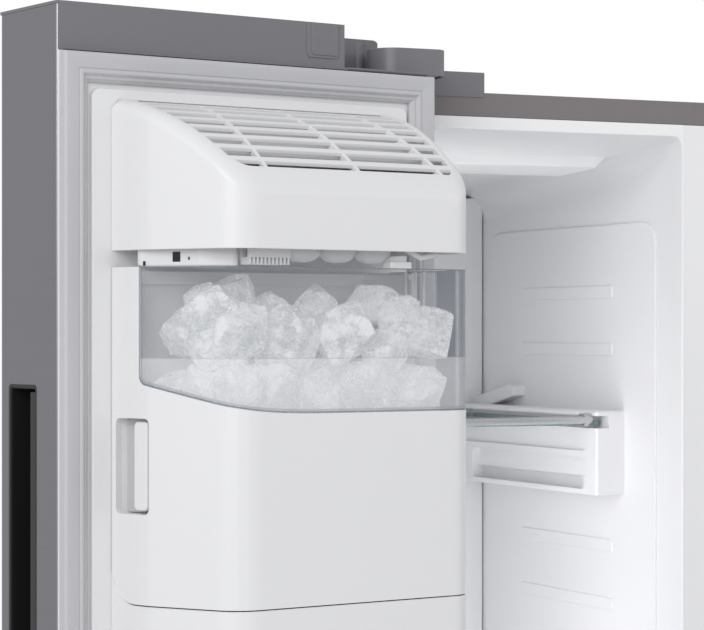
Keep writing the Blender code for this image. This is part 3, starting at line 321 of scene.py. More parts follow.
WHITE = (0.79, 0.79, 0.80)
MATERIALS = {
    "steel": brushed("brushed_steel", (0.30, 0.297, 0.32), 0.36, (2.0, 2.0, 900.0)),
    "cap": grained("cap_plastic", (0.185, 0.182, 0.20), 0.5, 1500.0, 0.35, 0.08),
    "hinge_plastic": moulded("hinge_plastic", (0.19, 0.188, 0.205), 0.36, 1400.0, 0.08, 0.03),
    "strip": grained("strip_plastic", (0.205, 0.185, 0.188), 0.5, 900.0, 0.5, 0.16),
    "paint": grained("case_paint", (0.21, 0.21, 0.22), 0.42, 1100.0, 0.3, 0.07),
    "white": moulded("white_plastic", WHITE, 0.34, 1100.0, 0.03, 0.012),
    "liner": moulded("liner_plastic", (0.80, 0.80, 0.815), 0.3, 700.0, 0.03, 0.015),
    # Painted light: a lighter copy of the liner plastic for the faces round the mouth, so the flange reads
    # brighter.
    "rim": moulded("flange_painted_light", (0.93, 0.93, 0.935), 0.3, 700.0, 0.03, 0.012),
    "mullion": moulded("mullion_paint", (0.88, 0.88, 0.89), 0.4, 1300.0, 0.06, 0.015),
    "gasket": moulded("gasket_vinyl", (0.54, 0.54, 0.56), 0.5, 1600.0, 0.08, 0.04),
    "black": moulded("black_plastic", (0.012, 0.012, 0.013), 0.35, 1200.0, 0.12, 0.2),
    "dark": moulded("dark_rubber", (0.035, 0.035, 0.038), 0.75, 1300.0, 0.2, 0.2),
    "window_clear": clear("window_clear", (0.40, 0.43, 0.48), 0.11, 0.06),
    "window_haze": clear("window_haze", (0.80, 0.81, 0.84), 0.27, 0.25),
    # Painted shade: the dark tint for the window's rims and the band through its front bend.
    "window_painted_shade": clear("window_painted_shade", (0.22, 0.24, 0.28), 0.55, 0.12),
    "window_line": clear("window_line", (0.50, 0.52, 0.56), 0.45, 0.12),
    # Painted light: a slightly lighter, bluer copy of the white plastic, set for the brightness inside the
    # bucket.
    "bucket_inner_painted_light": moulded("bucket_inside_painted_light", (0.80, 0.81, 0.83), 0.4, 1100.0, 0.03, 0.02),
    # The next two are painted shade: gray and near-black sheets under the grille that stand in for its shaded
    # inside.
    "baffle": moulded("gray_shade_sheet_paint", (0.62, 0.62, 0.64), 0.5, 1100.0, 0.03, 0.02),
    "well": moulded("dark_shade_sheet_paint", (0.07, 0.07, 0.075), 0.5, 1100.0, 0.03, 0.05),
    "lobe": clear("lobe_plastic", (0.74, 0.75, 0.78), 0.75, 0.2),
    # Painted shade: a mid gray for the white plastic in the pocket's shade.
    "pocket_gray": moulded("pocket_gray", (0.50, 0.50, 0.52), 0.4, 1100.0, 0.03, 0.02),
    "clear": clear("clear_plastic", (0.72, 0.75, 0.80), 0.30, 0.07),
    "glass": clear("shelf_glass", (0.50, 0.60, 0.58), 0.25, 0.03),
    "glass_edge": clear("glass_edge", (0.20, 0.32, 0.29), 0.80, 0.1),
    "light": moulded("light_cover", (0.95, 0.95, 0.96), 0.3, 900.0, 0.03, 0.01),
    "metal": brushed("bright_metal", (0.55, 0.55, 0.57), 0.22, (300.0, 3.0, 3.0), 0.1, 0.06),
    "zinc": spangled("zinc_steel", (0.50, 0.50, 0.52)),
    "copper": brushed("copper_tube", (0.60, 0.33, 0.20), 0.3, (60.0, 60.0, 60.0), 0.1, 0.12),
    "pump": moulded("pump_paint", (0.022, 0.022, 0.024), 0.3, 900.0, 0.25, 0.2),
    "ice": ice_material(),
    "foam": foam_material(),
}


# Shapes


def flat_box(bm, low, high):
    low, high = Vector(low), Vector(high)
    size = Matrix.Diagonal(high - low).to_4x4()
    bmesh.ops.create_cube(bm, size=1.0, matrix=Matrix.Translation((low + high) / 2) @ size)


def boxes(*spans):
    """Boxes given as (x or u span, y or p span, z span)."""
    bm = bmesh.new()
    for xs, ys, zs in spans:
        flat_box(bm, (xs[0], ys[0], zs[0]), (xs[1], ys[1], zs[1]))
    return bm


AXIS_ORDER = {
    "X": lambda a, b, level: (level, a, b),
    "Y": lambda a, b, level: (a, level, b),
    "Z": lambda a, b, level: (a, b, level),
}


def prism(outline, low, high, axis="Z"):
    """An outline pushed along an axis. Across Z it is (x, y), across X (y, z), and across Y (x, z)."""
    bm = bmesh.new()
    order = AXIS_ORDER[axis]
    rings = [[bm.verts.new(order(a, b, level)) for a, b in outline] for level in (low, high)]
    count = len(outline)
    for ring in rings:
        bm.faces.new(ring)
    for i in range(count):
        j = (i + 1) % count
        bm.faces.new((rings[0][i], rings[0][j], rings[1][j], rings[1][i]))
    bmesh.ops.recalc_face_normals(bm, faces=bm.faces)
    return bm


def arc(centre, radius, start, end, count=6):
    """Points on an arc, from one angle to another in degrees."""
    angles = [math.radians(start + (end - start) * i / (count - 1)) for i in range(count)]
    return [(centre[0] + radius * math.cos(a), centre[1] + radius * math.sin(a)) for a in angles]


def rounded(outline, radii, steps=6):
    """The outline with an arc at each corner that has a radius, from one radius or a list of them."""
    count = len(outline)
    if not isinstance(radii, (list, tuple)):
        radii = [radii] * count
    result = []
    for i, point in enumerate(outline):
        if radii[i] <= 0:
            result.append(tuple(point))
            continue
        corner = Vector(point)
        before = (Vector(outline[i - 1]) - corner).normalized()
        after = (Vector(outline[(i + 1) % count]) - corner).normalized()
        half = before.angle(after) / 2
        centre = corner + (before + after).normalized() * (radii[i] / math.sin(half))
        start = before * (radii[i] / math.tan(half)) + corner - centre
        end = after * (radii[i] / math.tan(half)) + corner - centre
        for step in range(steps):
            way = start.lerp(end, step / (steps - 1)).normalized()
            result.append(tuple(centre + way * radii[i]))
    return result


def rectangle(x0, x1, y0, y1):
    return [(x0, y0), (x1, y0), (x1, y1), (x0, y1)]


def grown(outline, distance):
    """The outline of a polygon moved outwards by a distance, with its corners kept sharp."""
    count = len(outline)
    area = sum(
        outline[i][0] * outline[(i + 1) % count][1] - outline[(i + 1) % count][0] * outline[i][1]
        for i in range(count)
    )
    way = 1 if area > 0 else -1
    result = []
    for i, corner in enumerate(outline):
        before = (Vector(corner) - Vector(outline[i - 1])).normalized()
        after = (Vector(outline[(i + 1) % count]) - Vector(corner)).normalized()
        both = (Vector((before.y, -before.x)) + Vector((after.y, -after.x))) * way
        result.append(tuple(Vector(corner) + both * (2 * distance / both.length_squared)))
    return result


def thick_path(path, thickness):
    """A closed outline: an open path and the same path moved to its right by a thickness."""
    moved = []
    for i, point in enumerate(path):
        before = Vector(path[max(i, 1)]) - Vector(path[max(i, 1) - 1])
        after = Vector(path[min(i + 1, len(path) - 1)]) - Vector(path[min(i, len(path) - 2)])
        tangent = (before.normalized() + after.normalized())
        out = Vector((tangent.y, -tangent.x)).normalized()
        stretch = 1 / max(0.5, math.cos(before.angle(after) / 2))
        moved.append(tuple(Vector(point) + out * thickness * stretch))
    return list(path) + moved[::-1]


def joined(*meshes):
    """One bmesh out of several."""
    bm = meshes[0]
    for other in meshes[1:]:
        mesh = bpy.data.meshes.new("part")
        other.to_mesh(mesh)
        other.free()
        bm.from_mesh(mesh)
        bpy.data.meshes.remove(mesh)
    return bm


def cylinder(radius, low, high, centre, steps=32):
    """A closed upright cylinder."""
    a, b = centre
    angles = [2 * math.pi * i / steps for i in range(steps)]
    return prism([(a + radius * math.cos(t), b + radius * math.sin(t)) for t in angles], low, high)


def tube(points, radius, steps=12):
    """A round tube with closed ends along a list of points."""
    bm = bmesh.new()
    points = [Vector(point) for point in points]
    rings = []
    side = None
    for i, point in enumerate(points):
        ahead = (points[min(i + 1, len(points) - 1)] - points[max(i - 1, 0)]).normalized()
        if side is None:
            side = ahead.orthogonal().normalized()
        side = (side - ahead * side.dot(ahead)).normalized()
        other = ahead.cross(side)
        ring = []
        for step in range(steps):
            angle = 2 * math.pi * step / steps
            ring.append(bm.verts.new(point + (side * math.cos(angle) + other * math.sin(angle)) * radius))
        rings.append(ring)
    for first, second in zip(rings, rings[1:]):
        for i in range(steps):
            j = (i + 1) % steps
            bm.faces.new((first[i], first[j], second[j], second[i]))
    bm.faces.new(rings[0][::-1])
    bm.faces.new(rings[-1])
    bmesh.ops.recalc_face_normals(bm, faces=bm.faces)
    return bm


# Pieces

REPLACED = set()


def evaluated(obj):
    """The object's mesh with its modifiers worked in."""
    bpy.context.view_layer.update()
    graph = bpy.context.evaluated_depsgraph_get()
    mesh = bpy.data.meshes.new_from_object(obj.evaluated_get(graph))
    old = obj.data
    obj.modifiers.clear()
    obj.data = mesh
    bpy.data.meshes.remove(old)
    return obj


def shape(bm, space, name="shape"):
    """An object in a space, in local metres, whose faces point outwards."""
    for vert in bm.verts:
        vert.co = space.local(vert.co)
    if space.mirrored:
        bmesh.ops.reverse_faces(bm, faces=bm.faces)
    mesh = bpy.data.meshes.new(name)
    bm.to_mesh(mesh)
    bm.free()
    obj = bpy.data.objects.new(name, mesh)
    bpy.context.scene.collection.objects.link(obj)
    obj.matrix_world = space.matrix
    return obj


def combine(obj, others, operation):
    """Booleans with each of the other objects, which are then removed."""
    for other in others:
        modifier = obj.modifiers.new("boolean", "BOOLEAN")
        modifier.operation = operation
        modifier.solver = "EXACT"
        modifier.object = other
    evaluated(obj)
    for other in others:
        bpy.data.objects.remove(other, do_unlink=True)
    return obj


def cut(obj, space, *meshes):
    """Takes shapes away from an object."""
    return combine(obj, [shape(bm, space, "cutter") for bm in meshes], "DIFFERENCE")


def add(obj, space, *meshes):
    """Melts shapes into an object."""
    return combine(obj, [shape(bm, space, "tool") for bm in meshes], "UNION")


def soften(obj, width, segments=3, angle=35.0):
    """Rounds the edges that are sharper than an angle."""
    modifier = obj.modifiers.new("bevel", "BEVEL")
    modifier.width = width * MM
    modifier.segments = segments
    modifier.limit_method = "ANGLE"
    modifier.angle_limit = math.radians(angle)
    modifier.harden_normals = False
    modifier.miter_outer = "MITER_ARC"
    return evaluated(obj)


def finished(obj, name, material, body=None, replaces=(), angle=38.0):
    """Names a piece, shades it, gives it its material and puts it on its body."""
    obj.name = name
    obj.data.name = name
    materials = material if isinstance(material, (list, tuple)) else [material]
    for key in materials:
        obj.data.materials.append(MATERIALS[key])
    obj.data.shade_smooth()
    obj.data.set_sharp_from_angle(angle=math.radians(angle))
    normals = obj.modifiers.new("normals", "WEIGHTED_NORMAL")
    normals.keep_sharp = True
    if body:
        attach(obj, body)
    if replaces:
        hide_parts(*replaces)
        REPLACED.update(replaces)
    return obj


def paint(obj, index, test):
    """Gives a second material to the faces whose local centre, in millimetres, passes a test."""
    for face in obj.data.polygons:
        if test(face.center / MM, face.normal):
            face.material_index = index


def refined(node, material, width=1.0, segments=2, angle=30.0):
    """A CAD node's own shape with its flat faces made whole and its edges rounded."""
    source = NODES[node]
    bm = bmesh.new()
    bm.from_mesh(source.data)
    bmesh.ops.remove_doubles(bm, verts=bm.verts, dist=0.00002)
    mesh = bpy.data.meshes.new(node + "_shape")
    bm.to_mesh(mesh)
    bm.free()
    obj = bpy.data.objects.new(node + "_shape", mesh)
    bpy.context.scene.collection.objects.link(obj)
    if width:
        soften(obj, width, segments, angle)
    return finished(obj, node + "_body", material, source["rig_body"], [node])


# The doors' shells


def skin_path(width):
    """Plan of a door's steel sheet, from its folded inner edge round the outside to the other inner edge."""
    fold, corner, edge = 3.5, 4.0, -0.5
    outer = -DOOR_THICKNESS
    path = [(fold + 3, edge)]
    path += arc((fold, edge - fold), fold, 90, 180)
    path += arc((corner, outer + corner), corner, 180, 270)
    path += arc((width - corner, outer + corner), corner, 270, 360)
    path += arc((width - fold, edge - fold), fold, 0, 90)
    return path + [(width - fold - 3, edge)]


# The handle pocket in each door's free edge, and the dispenser's niche
HANDLE_P = (-87.0, -37.0)
HANDLE_Z = (700.0, 1451.0)
NICHE_U, NICHE_Z = (110.0, 290.0), (860.0, 1190.0)


def door_skin(space, kind, holes=()):
    """The door's folded steel sheet with its floor, its handle slot and a gap at the hinge."""
    width = space.width
    bm = prism(thick_path(skin_path(width), -SHEET), DOOR_BOTTOM, SKIN_TOP)
    skin = shape(bm, space)
    floor = boxes(((0.6, width - 0.6), (-DOOR_THICKNESS + 0.6, -1), (DOOR_BOTTOM, DOOR_BOTTOM + SHEET)))
    add(skin, space, floor)
    slot = prism(rounded(rectangle(*HANDLE_P, *HANDLE_Z), 4.0), -5, 3, "X")
    hinge_gap = boxes(((width - 8, width + 5), (-89, 20), (CASE_TOP + 1, SKIN_TOP + 5)))
    cut(skin, space, slot, hinge_gap, *holes)
    soften(skin, 0.35, 2, 50)
    return finished(skin, kind + "_door_steel", "steel", space.body, [kind + "_door_skin"])


def door_cap(space, kind):
    """The cap: a lipped top, a hinge room at the pivot with a rounded outer wall, and a raised pad."""
    width, room = space.width, 100.0
    outer = -DOOR_THICKNESS
    cap = shape(boxes(((1.5, width - 1.5), (outer + 1.5, 0), (CAP_BOTTOM, DOOR_TOP - 1))), space)
    add(cap, space, boxes(((0, width), (outer, 0), (SKIN_TOP + 0.3, DOOR_TOP))))
    bend = arc((width - room + 14, -70), 14, 180, 270)
    plan = [(width - room, 20), (width - room, -70), *bend, (width + 20, -84), (width + 20, 20)]
    cut(cap, space, prism(plan, CAP_BOTTOM + 2.2, DOOR_TOP + 5))
    corner = [(width - 7, DOOR_TOP + 5), (width + 5, DOOR_TOP + 5), (width + 5, DOOR_TOP - 7)]
    corner += arc((width - 7, DOOR_TOP - 7), 7, 0, 90)
    cut(cap, space, prism(corner, -90, -70, "Y"))
    soften(cap, 0.9, 3)
    plates = []
    for left, right, low, radius, height in ((258, 293.6, 1747.5, 4, 1.0), (262.5, 292.2, 1750, 3, 1.8)):
        corners = [(left, DOOR_TOP - 0.8), (left, low), (right, low), (right, DOOR_TOP - 0.8)]
        plates.append(prism(rounded(corners, [0, radius, radius, 0]), -1, height, "Y"))
    plates = soften(shape(joined(*plates), space), 0.8, 3)
    rib = cylinder(7.0, CAP_BOTTOM + 2, DOOR_TOP - 3, (width - 22, -89.0))
    rib = soften(shape(rib, space), 1.5, 3)
    lip = boxes(((width - room + 4, width - 2.5), (-1.2, 0.9), (CAP_BOTTOM + 0.4, CAP_BOTTOM + 2.5)))
    lip = soften(shape(lip, space), 0.8, 2)
    add_meshes(cap, plates, rib, lip)
    return finished(cap, kind + "_door_cap", "cap", space.body, [kind + "_door_top_cap"])


def add_meshes(obj, *others):
    """Takes the meshes of other objects in the same space into one object, as separate closed bodies."""
    bm = bmesh.new()
    bm.from_mesh(obj.data)
    for other in others:
        bm.from_mesh(other.data)
        bpy.data.objects.remove(other, do_unlink=True)
    bm.to_mesh(obj.data)
    bm.free()
    return obj


# The seal's section: distance in from its outer edge, and height over the frame
GASKET_PROFILE = [
    (0.6, 0.3), (0.0, 1.2), (0.0, 3.6), (1.1, 4.3), (1.1, 5.0), (0.0, 5.7), (0.0, 7.6), (0.8, 8.2),
    (0.4, 9.4), (1.4, 10.5), (3.0, 10.8), (6.0, 10.6), (10.0, 10.1), (13.6, 9.5), (14.4, 8.7), (15.2, 9.5),
    (16.6, 10.0), (18.0, 9.7), (19.2, 8.4), (20.4, 6.6), (21.4, 6.9), (22.6, 6.4), (24.0, 4.6),
    (25.3, 3.4), (25.6, 1.6), (25.2, 0.3),
]


def door_gasket(space, kind):
    """The magnetic seal: one ribbed section swept round the door's frame with mitred corners."""
    width, bottom, top, edge = space.width, 63.0, DOOR_TOP - 43.2, 2.6
    bm = bmesh.new()
    rings = []
    for inward, height in GASKET_PROFILE:
        low, high = edge + inward, width - edge - inward
        corners = rectangle(low, high, bottom + inward, top - inward)
        rings.append([bm.verts.new((u, height, z)) for u, z in corners])
    for i, ring in enumerate(rings):
        after = rings[(i + 1) % len(rings)]
        for j in range(4):
            k = (j + 1) % 4
            bm.faces.new((ring[j], ring[k], after[k], after[j]))
    bmesh.ops.recalc_face_normals(bm, faces=bm.faces)
    for j in range(4):
        mitre = {ring[j] for ring in rings}
        edges = [edge for edge in bm.edges if edge.verts[0] in mitre and edge.verts[1] in mitre]
        bmesh.ops.bevel(bm, geom=edges, offset=0.01, segments=1, affect="EDGES")
    seal, replaced = shape(bm, space), [kind + "_door_gasket"]
    return finished(seal, kind + "_door_seal", "gasket", space.body, replaced, 28)


def door_handle(space, kind):
    """The pocket handle: a framed recess with a curved grip wall inside."""
    depth, wall = 36.0, 2.0
    (near, far), (low, high) = HANDLE_P, HANDLE_Z
    block = rounded(rectangle(near + 0.3, far - 0.3, low + 0.3, high - 0.3), 3.6)
    handle = shape(prism(block, 0.4, depth, "X"), space)
    hollow = rounded(rectangle(near + 3.6, far - wall, low + 3.5, high - 3.5), 3.0)
    cut(handle, space, prism(hollow, -5, depth - wall, "X"))
    soften(handle, 0.8, 3)
    frame_outer = rounded(rectangle(near - 0.2, far + 0.2, low - 0.2, high + 0.2), 4.0)
    frame_inner = rounded(rectangle(near + 3.4, far - 1.0, low + 2.5, high - 2.5), 3.0)
    rim = shape(prism(frame_outer, -0.5, 0.9, "X"), space)
    cut(rim, space, prism(frame_inner, -2, 3, "X"))
    soften(rim, 0.35, 2)
    bend = arc((12, far - 15), 8, 180, 270, 5)
    grip = [(2, far - wall), (2, far - 15), *bend, (30, far - 23), (depth, far - wall)]
    lip = soften(shape(prism(grip, low + 6, high - 6), space), 1.5, 3)
    add_meshes(handle, rim, lip)
    replaced = [kind + "_door_handle"]
    return finished(handle, kind + "_door_grip", "black", space.body, replaced)


def liner_block(space):
    """The door's foam body, with room for the handle's pocket."""
    width = space.width
    block = boxes(((1.5, width - 1.5), (-DOOR_THICKNESS + 1.5, 0), (DOOR_BOTTOM + 1.5, CASE_TOP + 0.7)))
    liner = shape(block, space)
    (near, far), (low, high) = HANDLE_P, HANDLE_Z
    cut(liner, space, boxes(((-5, 36.3), (near - 0.3, far + 0.3), (low - 0.3, high + 0.3))))
    return liner


def door_bin(space, name, us, ps, zs, replaces):
    """A clear bin: a rounded tub with a low front."""
    wall = 2.4
    (left, right), (back, front), (bottom, top) = us, ps, zs
    outer = rounded(rectangle(left, right, back, front), [2, 2, 16, 16])
    tub = shape(prism(outer, bottom, top), space)
    inner = rounded(rectangle(left + wall, right - wall, back + wall, front - wall), [1, 1, 14, 14])
    side = [(back + 40, top + 5), (back + 58, top - 28), (front + 5, top - 28), (front + 5, top + 5)]
    hollow = prism(inner, bottom + wall, top + 20)
    cut(tub, space, hollow, prism(rounded(side, [0, 12, 0, 0]), left - 5, right + 5, "X"))
    soften(tub, 0.8, 2)
    return finished(tub, name, "clear", space.body, [replaces])


# The plan of the ice housing on the freezer door


def on_slant(distance, depth):
    """The (u, p) point at a distance along the housing's left face and at a depth under it."""
    start = Vector((HOUSING_LEFT, HOUSING_BACK))
    along = (Vector(HOUSING_BEND) - start).normalized()
    out = Vector((-along.y, along.x))
    return tuple(start + along * distance - out * depth)


def offset_lines(outline, distances):
    """A polygon whose edges are each moved inwards by their own distance. Edge i starts at point i."""
    count = len(outline)
    points = [Vector(point) for point in outline]
    lines = []
    for i in range(count):
        way = (points[(i + 1) % count] - points[i]).normalized()
        inwards = Vector((way.y, -way.x))
        lines.append((points[i] + inwards * distances[i], way))
    result = []
    for i in range(count):
        (a, d), (b, e) = lines[i - 1], lines[i]
        along = (b - a).cross(e) / d.cross(e)
        result.append(tuple(a + d * along))
    return result


HOUSING = [(HOUSING_LEFT, HOUSING_BACK), HOUSING_BEND, HOUSING_TURN, (HOUSING_RIGHT, HOUSING_FRONT),
           (HOUSING_RIGHT, HOUSING_BACK)]


def housing_ring(inset=0.0, back=HOUSING_BACK, back_inset=0.0, spacing=7.0):
    """The housing's plan as a dense closed ring with the same number of points at every inset."""
    base = [(HOUSING_LEFT - (HOUSING_BACK - back) * 0.2333, back), *HOUSING[1:4], (HOUSING_RIGHT, back)]
    sharp = offset_lines(base, [inset, inset, inset, inset, back_inset])
    radii = [0, 40.0, max(TURN_RADIUS - inset, 12.0), max(CORNER_RADIUS - inset, 7.0), 0]
    corners = rounded(sharp, radii, 7)
    reference = rounded(base, [0, 40.0, TURN_RADIUS, CORNER_RADIUS, 0], 7)
    result = []
    for i, point in enumerate(corners):
        j = (i + 1) % len(corners)
        parts = max(1, round((Vector(reference[j]) - Vector(reference[i])).length / spacing))
        for step in range(parts):
            result.append(tuple(Vector(point).lerp(Vector(corners[j]), step / parts)))
    return result


def along_ring(points):
    """The distance of each point from the first one, along the outline."""
    distances = [0.0]
    for a, b in zip(points, points[1:]):
        distances.append(distances[-1] + (Vector(b) - Vector(a)).length)
    return distances


SEAM_RADIUS = 28.0
WINDOW_START = 33.0
WINDOW_LEFT_Z = 1451.0
WINDOW_FRONT_Z = 1427.5
WINDOW_CORNER = 9.0
HAZE_Z = 1474.0


def seam_height(s):
    """The seam under the bucket: level, with a rounded corner at the left."""
    if s >= SEAM_RADIUS:
        return BUCKET_BOTTOM
    return BUCKET_BOTTOM + SEAM_RADIUS - math.sqrt(SEAM_RADIUS ** 2 - (SEAM_RADIUS - s) ** 2)


def window_height(s):
    """The window's lower edge: a rounded corner at the left, a slant along the side, then a level front."""
    if s < WINDOW_START + WINDOW_CORNER:
        rest = WINDOW_CORNER - max(s - WINDOW_START, 0)
        return WINDOW_LEFT_Z + WINDOW_CORNER - math.sqrt(max(WINDOW_CORNER ** 2 - rest ** 2, 0))
    slanted = WINDOW_LEFT_Z - 0.215 * (s - WINDOW_START - WINDOW_CORNER)
    soft = 4.0
    gap = (slanted - WINDOW_FRONT_Z) / soft
    return WINDOW_FRONT_Z + soft * math.log1p(math.exp(gap)) if gap < 30 else slanted


def loft(rings, closed=False, materials=()):
    """A closed body through rings with equal numbers of points, with its two ends filled or joined."""
    bm = bmesh.new()
    layers = [[bm.verts.new(point) for point in ring] for ring in rings]
    count = len(layers[0])
    pairs = list(zip(layers, layers[1:]))
    if closed:
        pairs.append((layers[-1], layers[0]))
    for row, (first, second) in enumerate(pairs):
        for i in range(count):
            j = (i + 1) % count
            face = bm.faces.new((first[i], first[j], second[j], second[i]))
            face.material_index = materials[row] if materials else 0
    if not closed:
        bm.faces.new(layers[0])
        bm.faces.new(layers[-1])
    bmesh.ops.recalc_face_normals(bm, faces=bm.faces)
    return bm


def span_at(ring, p):
    """The lowest and highest u of a plan at a distance p from the inner frame."""
    crossings = []
    for (a, b), (c, d) in zip(ring, ring[1:] + ring[:1]):
        if (b - p) * (d - p) < 0:
            crossings.append(a + (c - a) * (p - b) / (d - b))
    return min(crossings), max(crossings)


RING = housing_ring()
RING_S = along_ring(RING)
FRONT_COUNT = max(i for i, point in enumerate(RING) if abs(point[0] - HOUSING_RIGHT) < 0.01) + 1
FRONT_END = RING_S[FRONT_COUNT - 1]


# The ice maker's cover


def cover_height(p):
    """The height of the cover's curved top at a distance from the inner frame."""
    return COVER_TOP - COVER_FALL * (max(p, 0.0) / HOUSING_FRONT) ** COVER_CURVE


FILLET = 11.5
GRILLE_INSET = 13.5
GRILLE_BACK = 13.0


def cover_ring(inset, back_inset, drop):
    """One ring of the cover: its plan moved in, at a depth under the cover's curved top."""
    ring = housing_ring(inset, HOUSING_BACK, back_inset)
    result = []
    for i, (u, p) in enumerate(ring):
        depth = drop if i < FRONT_COUNT else max(0.0, drop - FILLET)
        result.append((u, p, cover_height(p) - depth))
    return result


def flat_ring(inset, back_inset, z):
    """A level ring of the cover."""
    return [(u, p, z) for u, p in housing_ring(inset, HOUSING_BACK, back_inset)]


def cover_shell():
    """The cover's hollow shell, with a rounded upper edge and the opening for the grille."""
    wall = 2.6
    rings = [flat_ring(0.6, 0, COVER_BOTTOM), flat_ring(0.0, 0, COVER_BOTTOM + 0.8)]
    steps = 8
    for step in range(steps + 1):
        inset = FILLET * (1 - math.cos(math.radians(90 * step / steps)))
        drop = FILLET * (1 - math.sin(math.radians(90 * step / steps)))
        rings.append(cover_ring(inset, inset / FILLET * 6, drop))
    for less, drop in ((0.6, 0), (0, 0.7), (0, 6), (1, 6.2)):
        rings.append(cover_ring(GRILLE_INSET - less, GRILLE_BACK - HOUSING_BACK - less, drop))
    rings.append(cover_ring(wall + 2, wall, FILLET + 2))
    rings.append(flat_ring(wall, wall, COVER_BOTTOM + 0.4))
    rings.append(flat_ring(wall - 0.5, wall - 0.5, COVER_BOTTOM))
    return loft(rings, closed=True)


SLAT_PITCH = 12.6
SLAT_WIDTH = 4.2
CROSS_RIBS = ((130.0, 137.0), (208.0, 234.0), (288.0, 325.0))


def cross_rib(back_u, front_u, front):
    """A rib across the slats, which fans out a little towards the front."""
    rings = []
    for i in range(15):
        share = i / 14
        u = back_u + (front_u - back_u) * share
        p = GRILLE_BACK - 2 + (front - GRILLE_BACK + 4) * share
        top = cover_height(p) - 1.2
        left = span_at(housing_ring(GRILLE_INSET - 3), min(max(p, 8.0), HOUSING_FRONT - GRILLE_INSET))[0]
        if left < u - 2:
            rings.append([(x, p, z) for x, z in rectangle(u - 1.9, u + 1.9, top, top - 7)])
    return loft(rings)


def grille():
    """The grille's leaning slats, and the ribs that sit a little lower and tie them together."""
    opening = housing_ring(GRILLE_INSET, HOUSING_BACK, GRILLE_BACK - HOUSING_BACK)
    front = max(p for _, p in opening)
    parts = []
    p = GRILLE_BACK + 8.6
    while p < front - 6:
        low, high = p - SLAT_WIDTH / 2, p + SLAT_WIDTH / 2
        outline = [(low, cover_height(low) - 0.3), (high, cover_height(high) - 0.3),
                   (high - 1.0, cover_height(high) - 4.0), (low - 0.5, cover_height(low) - 4.0)]
        left, right = span_at(opening, p)
        parts.append(prism(outline, left - 2.2, right + 2.2, "X"))
        p += SLAT_PITCH
    parts += [cross_rib(*rib, front) for rib in CROSS_RIBS]
    return joined(*parts)


def ice_cover():
    """The ice maker's cover with its grille."""
    cover = shape(cover_shell(), FREEZER)
    bars = soften(shape(grille(), FREEZER), 0.7, 2, 50)
    add_meshes(cover, bars)
    replaced = ["ice_maker_cover"]
    return finished(cover, "ice_cover_shell", "white", "freezer_door", replaced, 40)


def clipped(bm, inset, low, high):
    """A shape cut off where the cover's inside ends."""
    obj = shape(bm, FREEZER)
    return combine(obj, [shape(prism(housing_ring(inset), low, high), FREEZER)], "INTERSECT")


def under_cover(depth, places):
    """A thin sheet that follows the cover's top at a depth under it."""
    tops = [(p, cover_height(p) - depth) for p in places]
    return clipped(prism(tops + [(p, z - 4) for p, z in tops[::-1]], 40, 360, "X"), 4.0, 1500, 1800)


def cover_inside():
    """What shows under the grille: a gray sheet, and under the front slots a near-black sheet, both painted
    shade for the cover's shaded white inside, with a black duct and a boss.
    """
    baffle = under_cover(16, (8, 30, 50, 70, 86))
    finished(baffle, "cover_gray_shade_sheet", "baffle", "freezer_door", ())
    well = under_cover(26, (84, 100, 118, 128))
    finished(well, "cover_dark_shade_sheet", "well", "freezer_door", ())
    duct = clipped(boxes(((96, 172), (84, 112), (1634, cover_height(98) - 12))), 6.0, 1500, 1800)
    slope = [(80, cover_height(80) - 9), (130, cover_height(130) - 5), (130, 1720), (80, 1720)]
    cut(duct, FREEZER, prism(slope, 60, 260, "X"))
    soften(duct, 2.0, 3)
    boss = soften(shape(cylinder(5.0, 1630, cover_height(110) - 9, (190, 109)), FREEZER), 2.2, 4)
    add_meshes(duct, boss)
    finished(duct, "cover_duct", "black", "freezer_door", ())


def lobe(u):
    """One rounded cup of the frosted guard under the ice maker."""
    bm = bmesh.new()
    bmesh.ops.create_uvsphere(bm, u_segments=28, v_segments=16, radius=1.0)
    for vert in bm.verts:
        flat = [math.copysign(abs(c) ** 0.8, c) for c in vert.co]
        vert.co = Vector((u + flat[0] * 19, 106 + flat[1] * 12, 1573 + flat[2] * 16.5))
    return bm


# The ice maker, over the window


def ice_maker():
    """The ice maker: its box, a comb and its frame."""
    corners = [(62, 28), (136, 28), (136, 60), (120, 66), (119, 103), (113, 101), (91, 84), (62.5, 33)]
    plan = rounded(corners, [2, 2, 4, 3, 3, 4, 9, 2])
    box = soften(shape(prism(plan, 1553, 1626), FREEZER), 1.6, 3)
    ledge_plan = rounded([(66, 34), (96, 34), (101, 86), (92, 82)], 2.0)
    ledge = soften(shape(prism(ledge_plan, 1552.6, 1556), FREEZER), 0.8, 2)
    left, right, back, front = 138, 344, 28, 118
    bars = boxes(((left, right), (back, back + 5), (1588, 1602)),
                 ((left, right), (front - 5, front), (1590, 1602)),
                 ((right - 6, right), (back, front), (1588, 1614)))
    frame_bars = soften(shape(bars, FREEZER), 1.4, 3)
    teeth = []
    for i in range(11):
        u = 122 + i * 3.9
        teeth.append(((u, u + 2.0), (99, 113), (1554.0, 1560.5)))
    comb = boxes(*teeth, ((121, 164), (99, 103), (1558, 1578)), ((121, 164), (111, 114), (1560, 1578)))
    comb = soften(shape(comb, FREEZER), 0.5, 2)
    add_meshes(box, ledge, frame_bars, comb)
    finished(box, "ice_maker_body", "white", "freezer_door", ["ice_maker"])


def ice_maker_guard():
    """The frosted guard, and the clip with a short pipe at its right."""
    guard = shape(joined(*[lobe(u) for u in (180, 217, 254)]), FREEZER)
    finished(guard, "ice_maker_guard", "lobe", "freezer_door", ())
    clip_plan = rounded(rectangle(267, 290, 104, 118), 2.0)
    clip = soften(shape(prism(clip_plan, 1552.6, 1558.5), FREEZER), 0.8, 2)
    pipe = shape(tube([(317, 116, 1566), (300, 116, 1563), (288, 112, 1570)], 3.2, 16), FREEZER)
    add_meshes(clip, pipe)
    finished(clip, "ice_maker_clip", "white", "freezer_door", ())


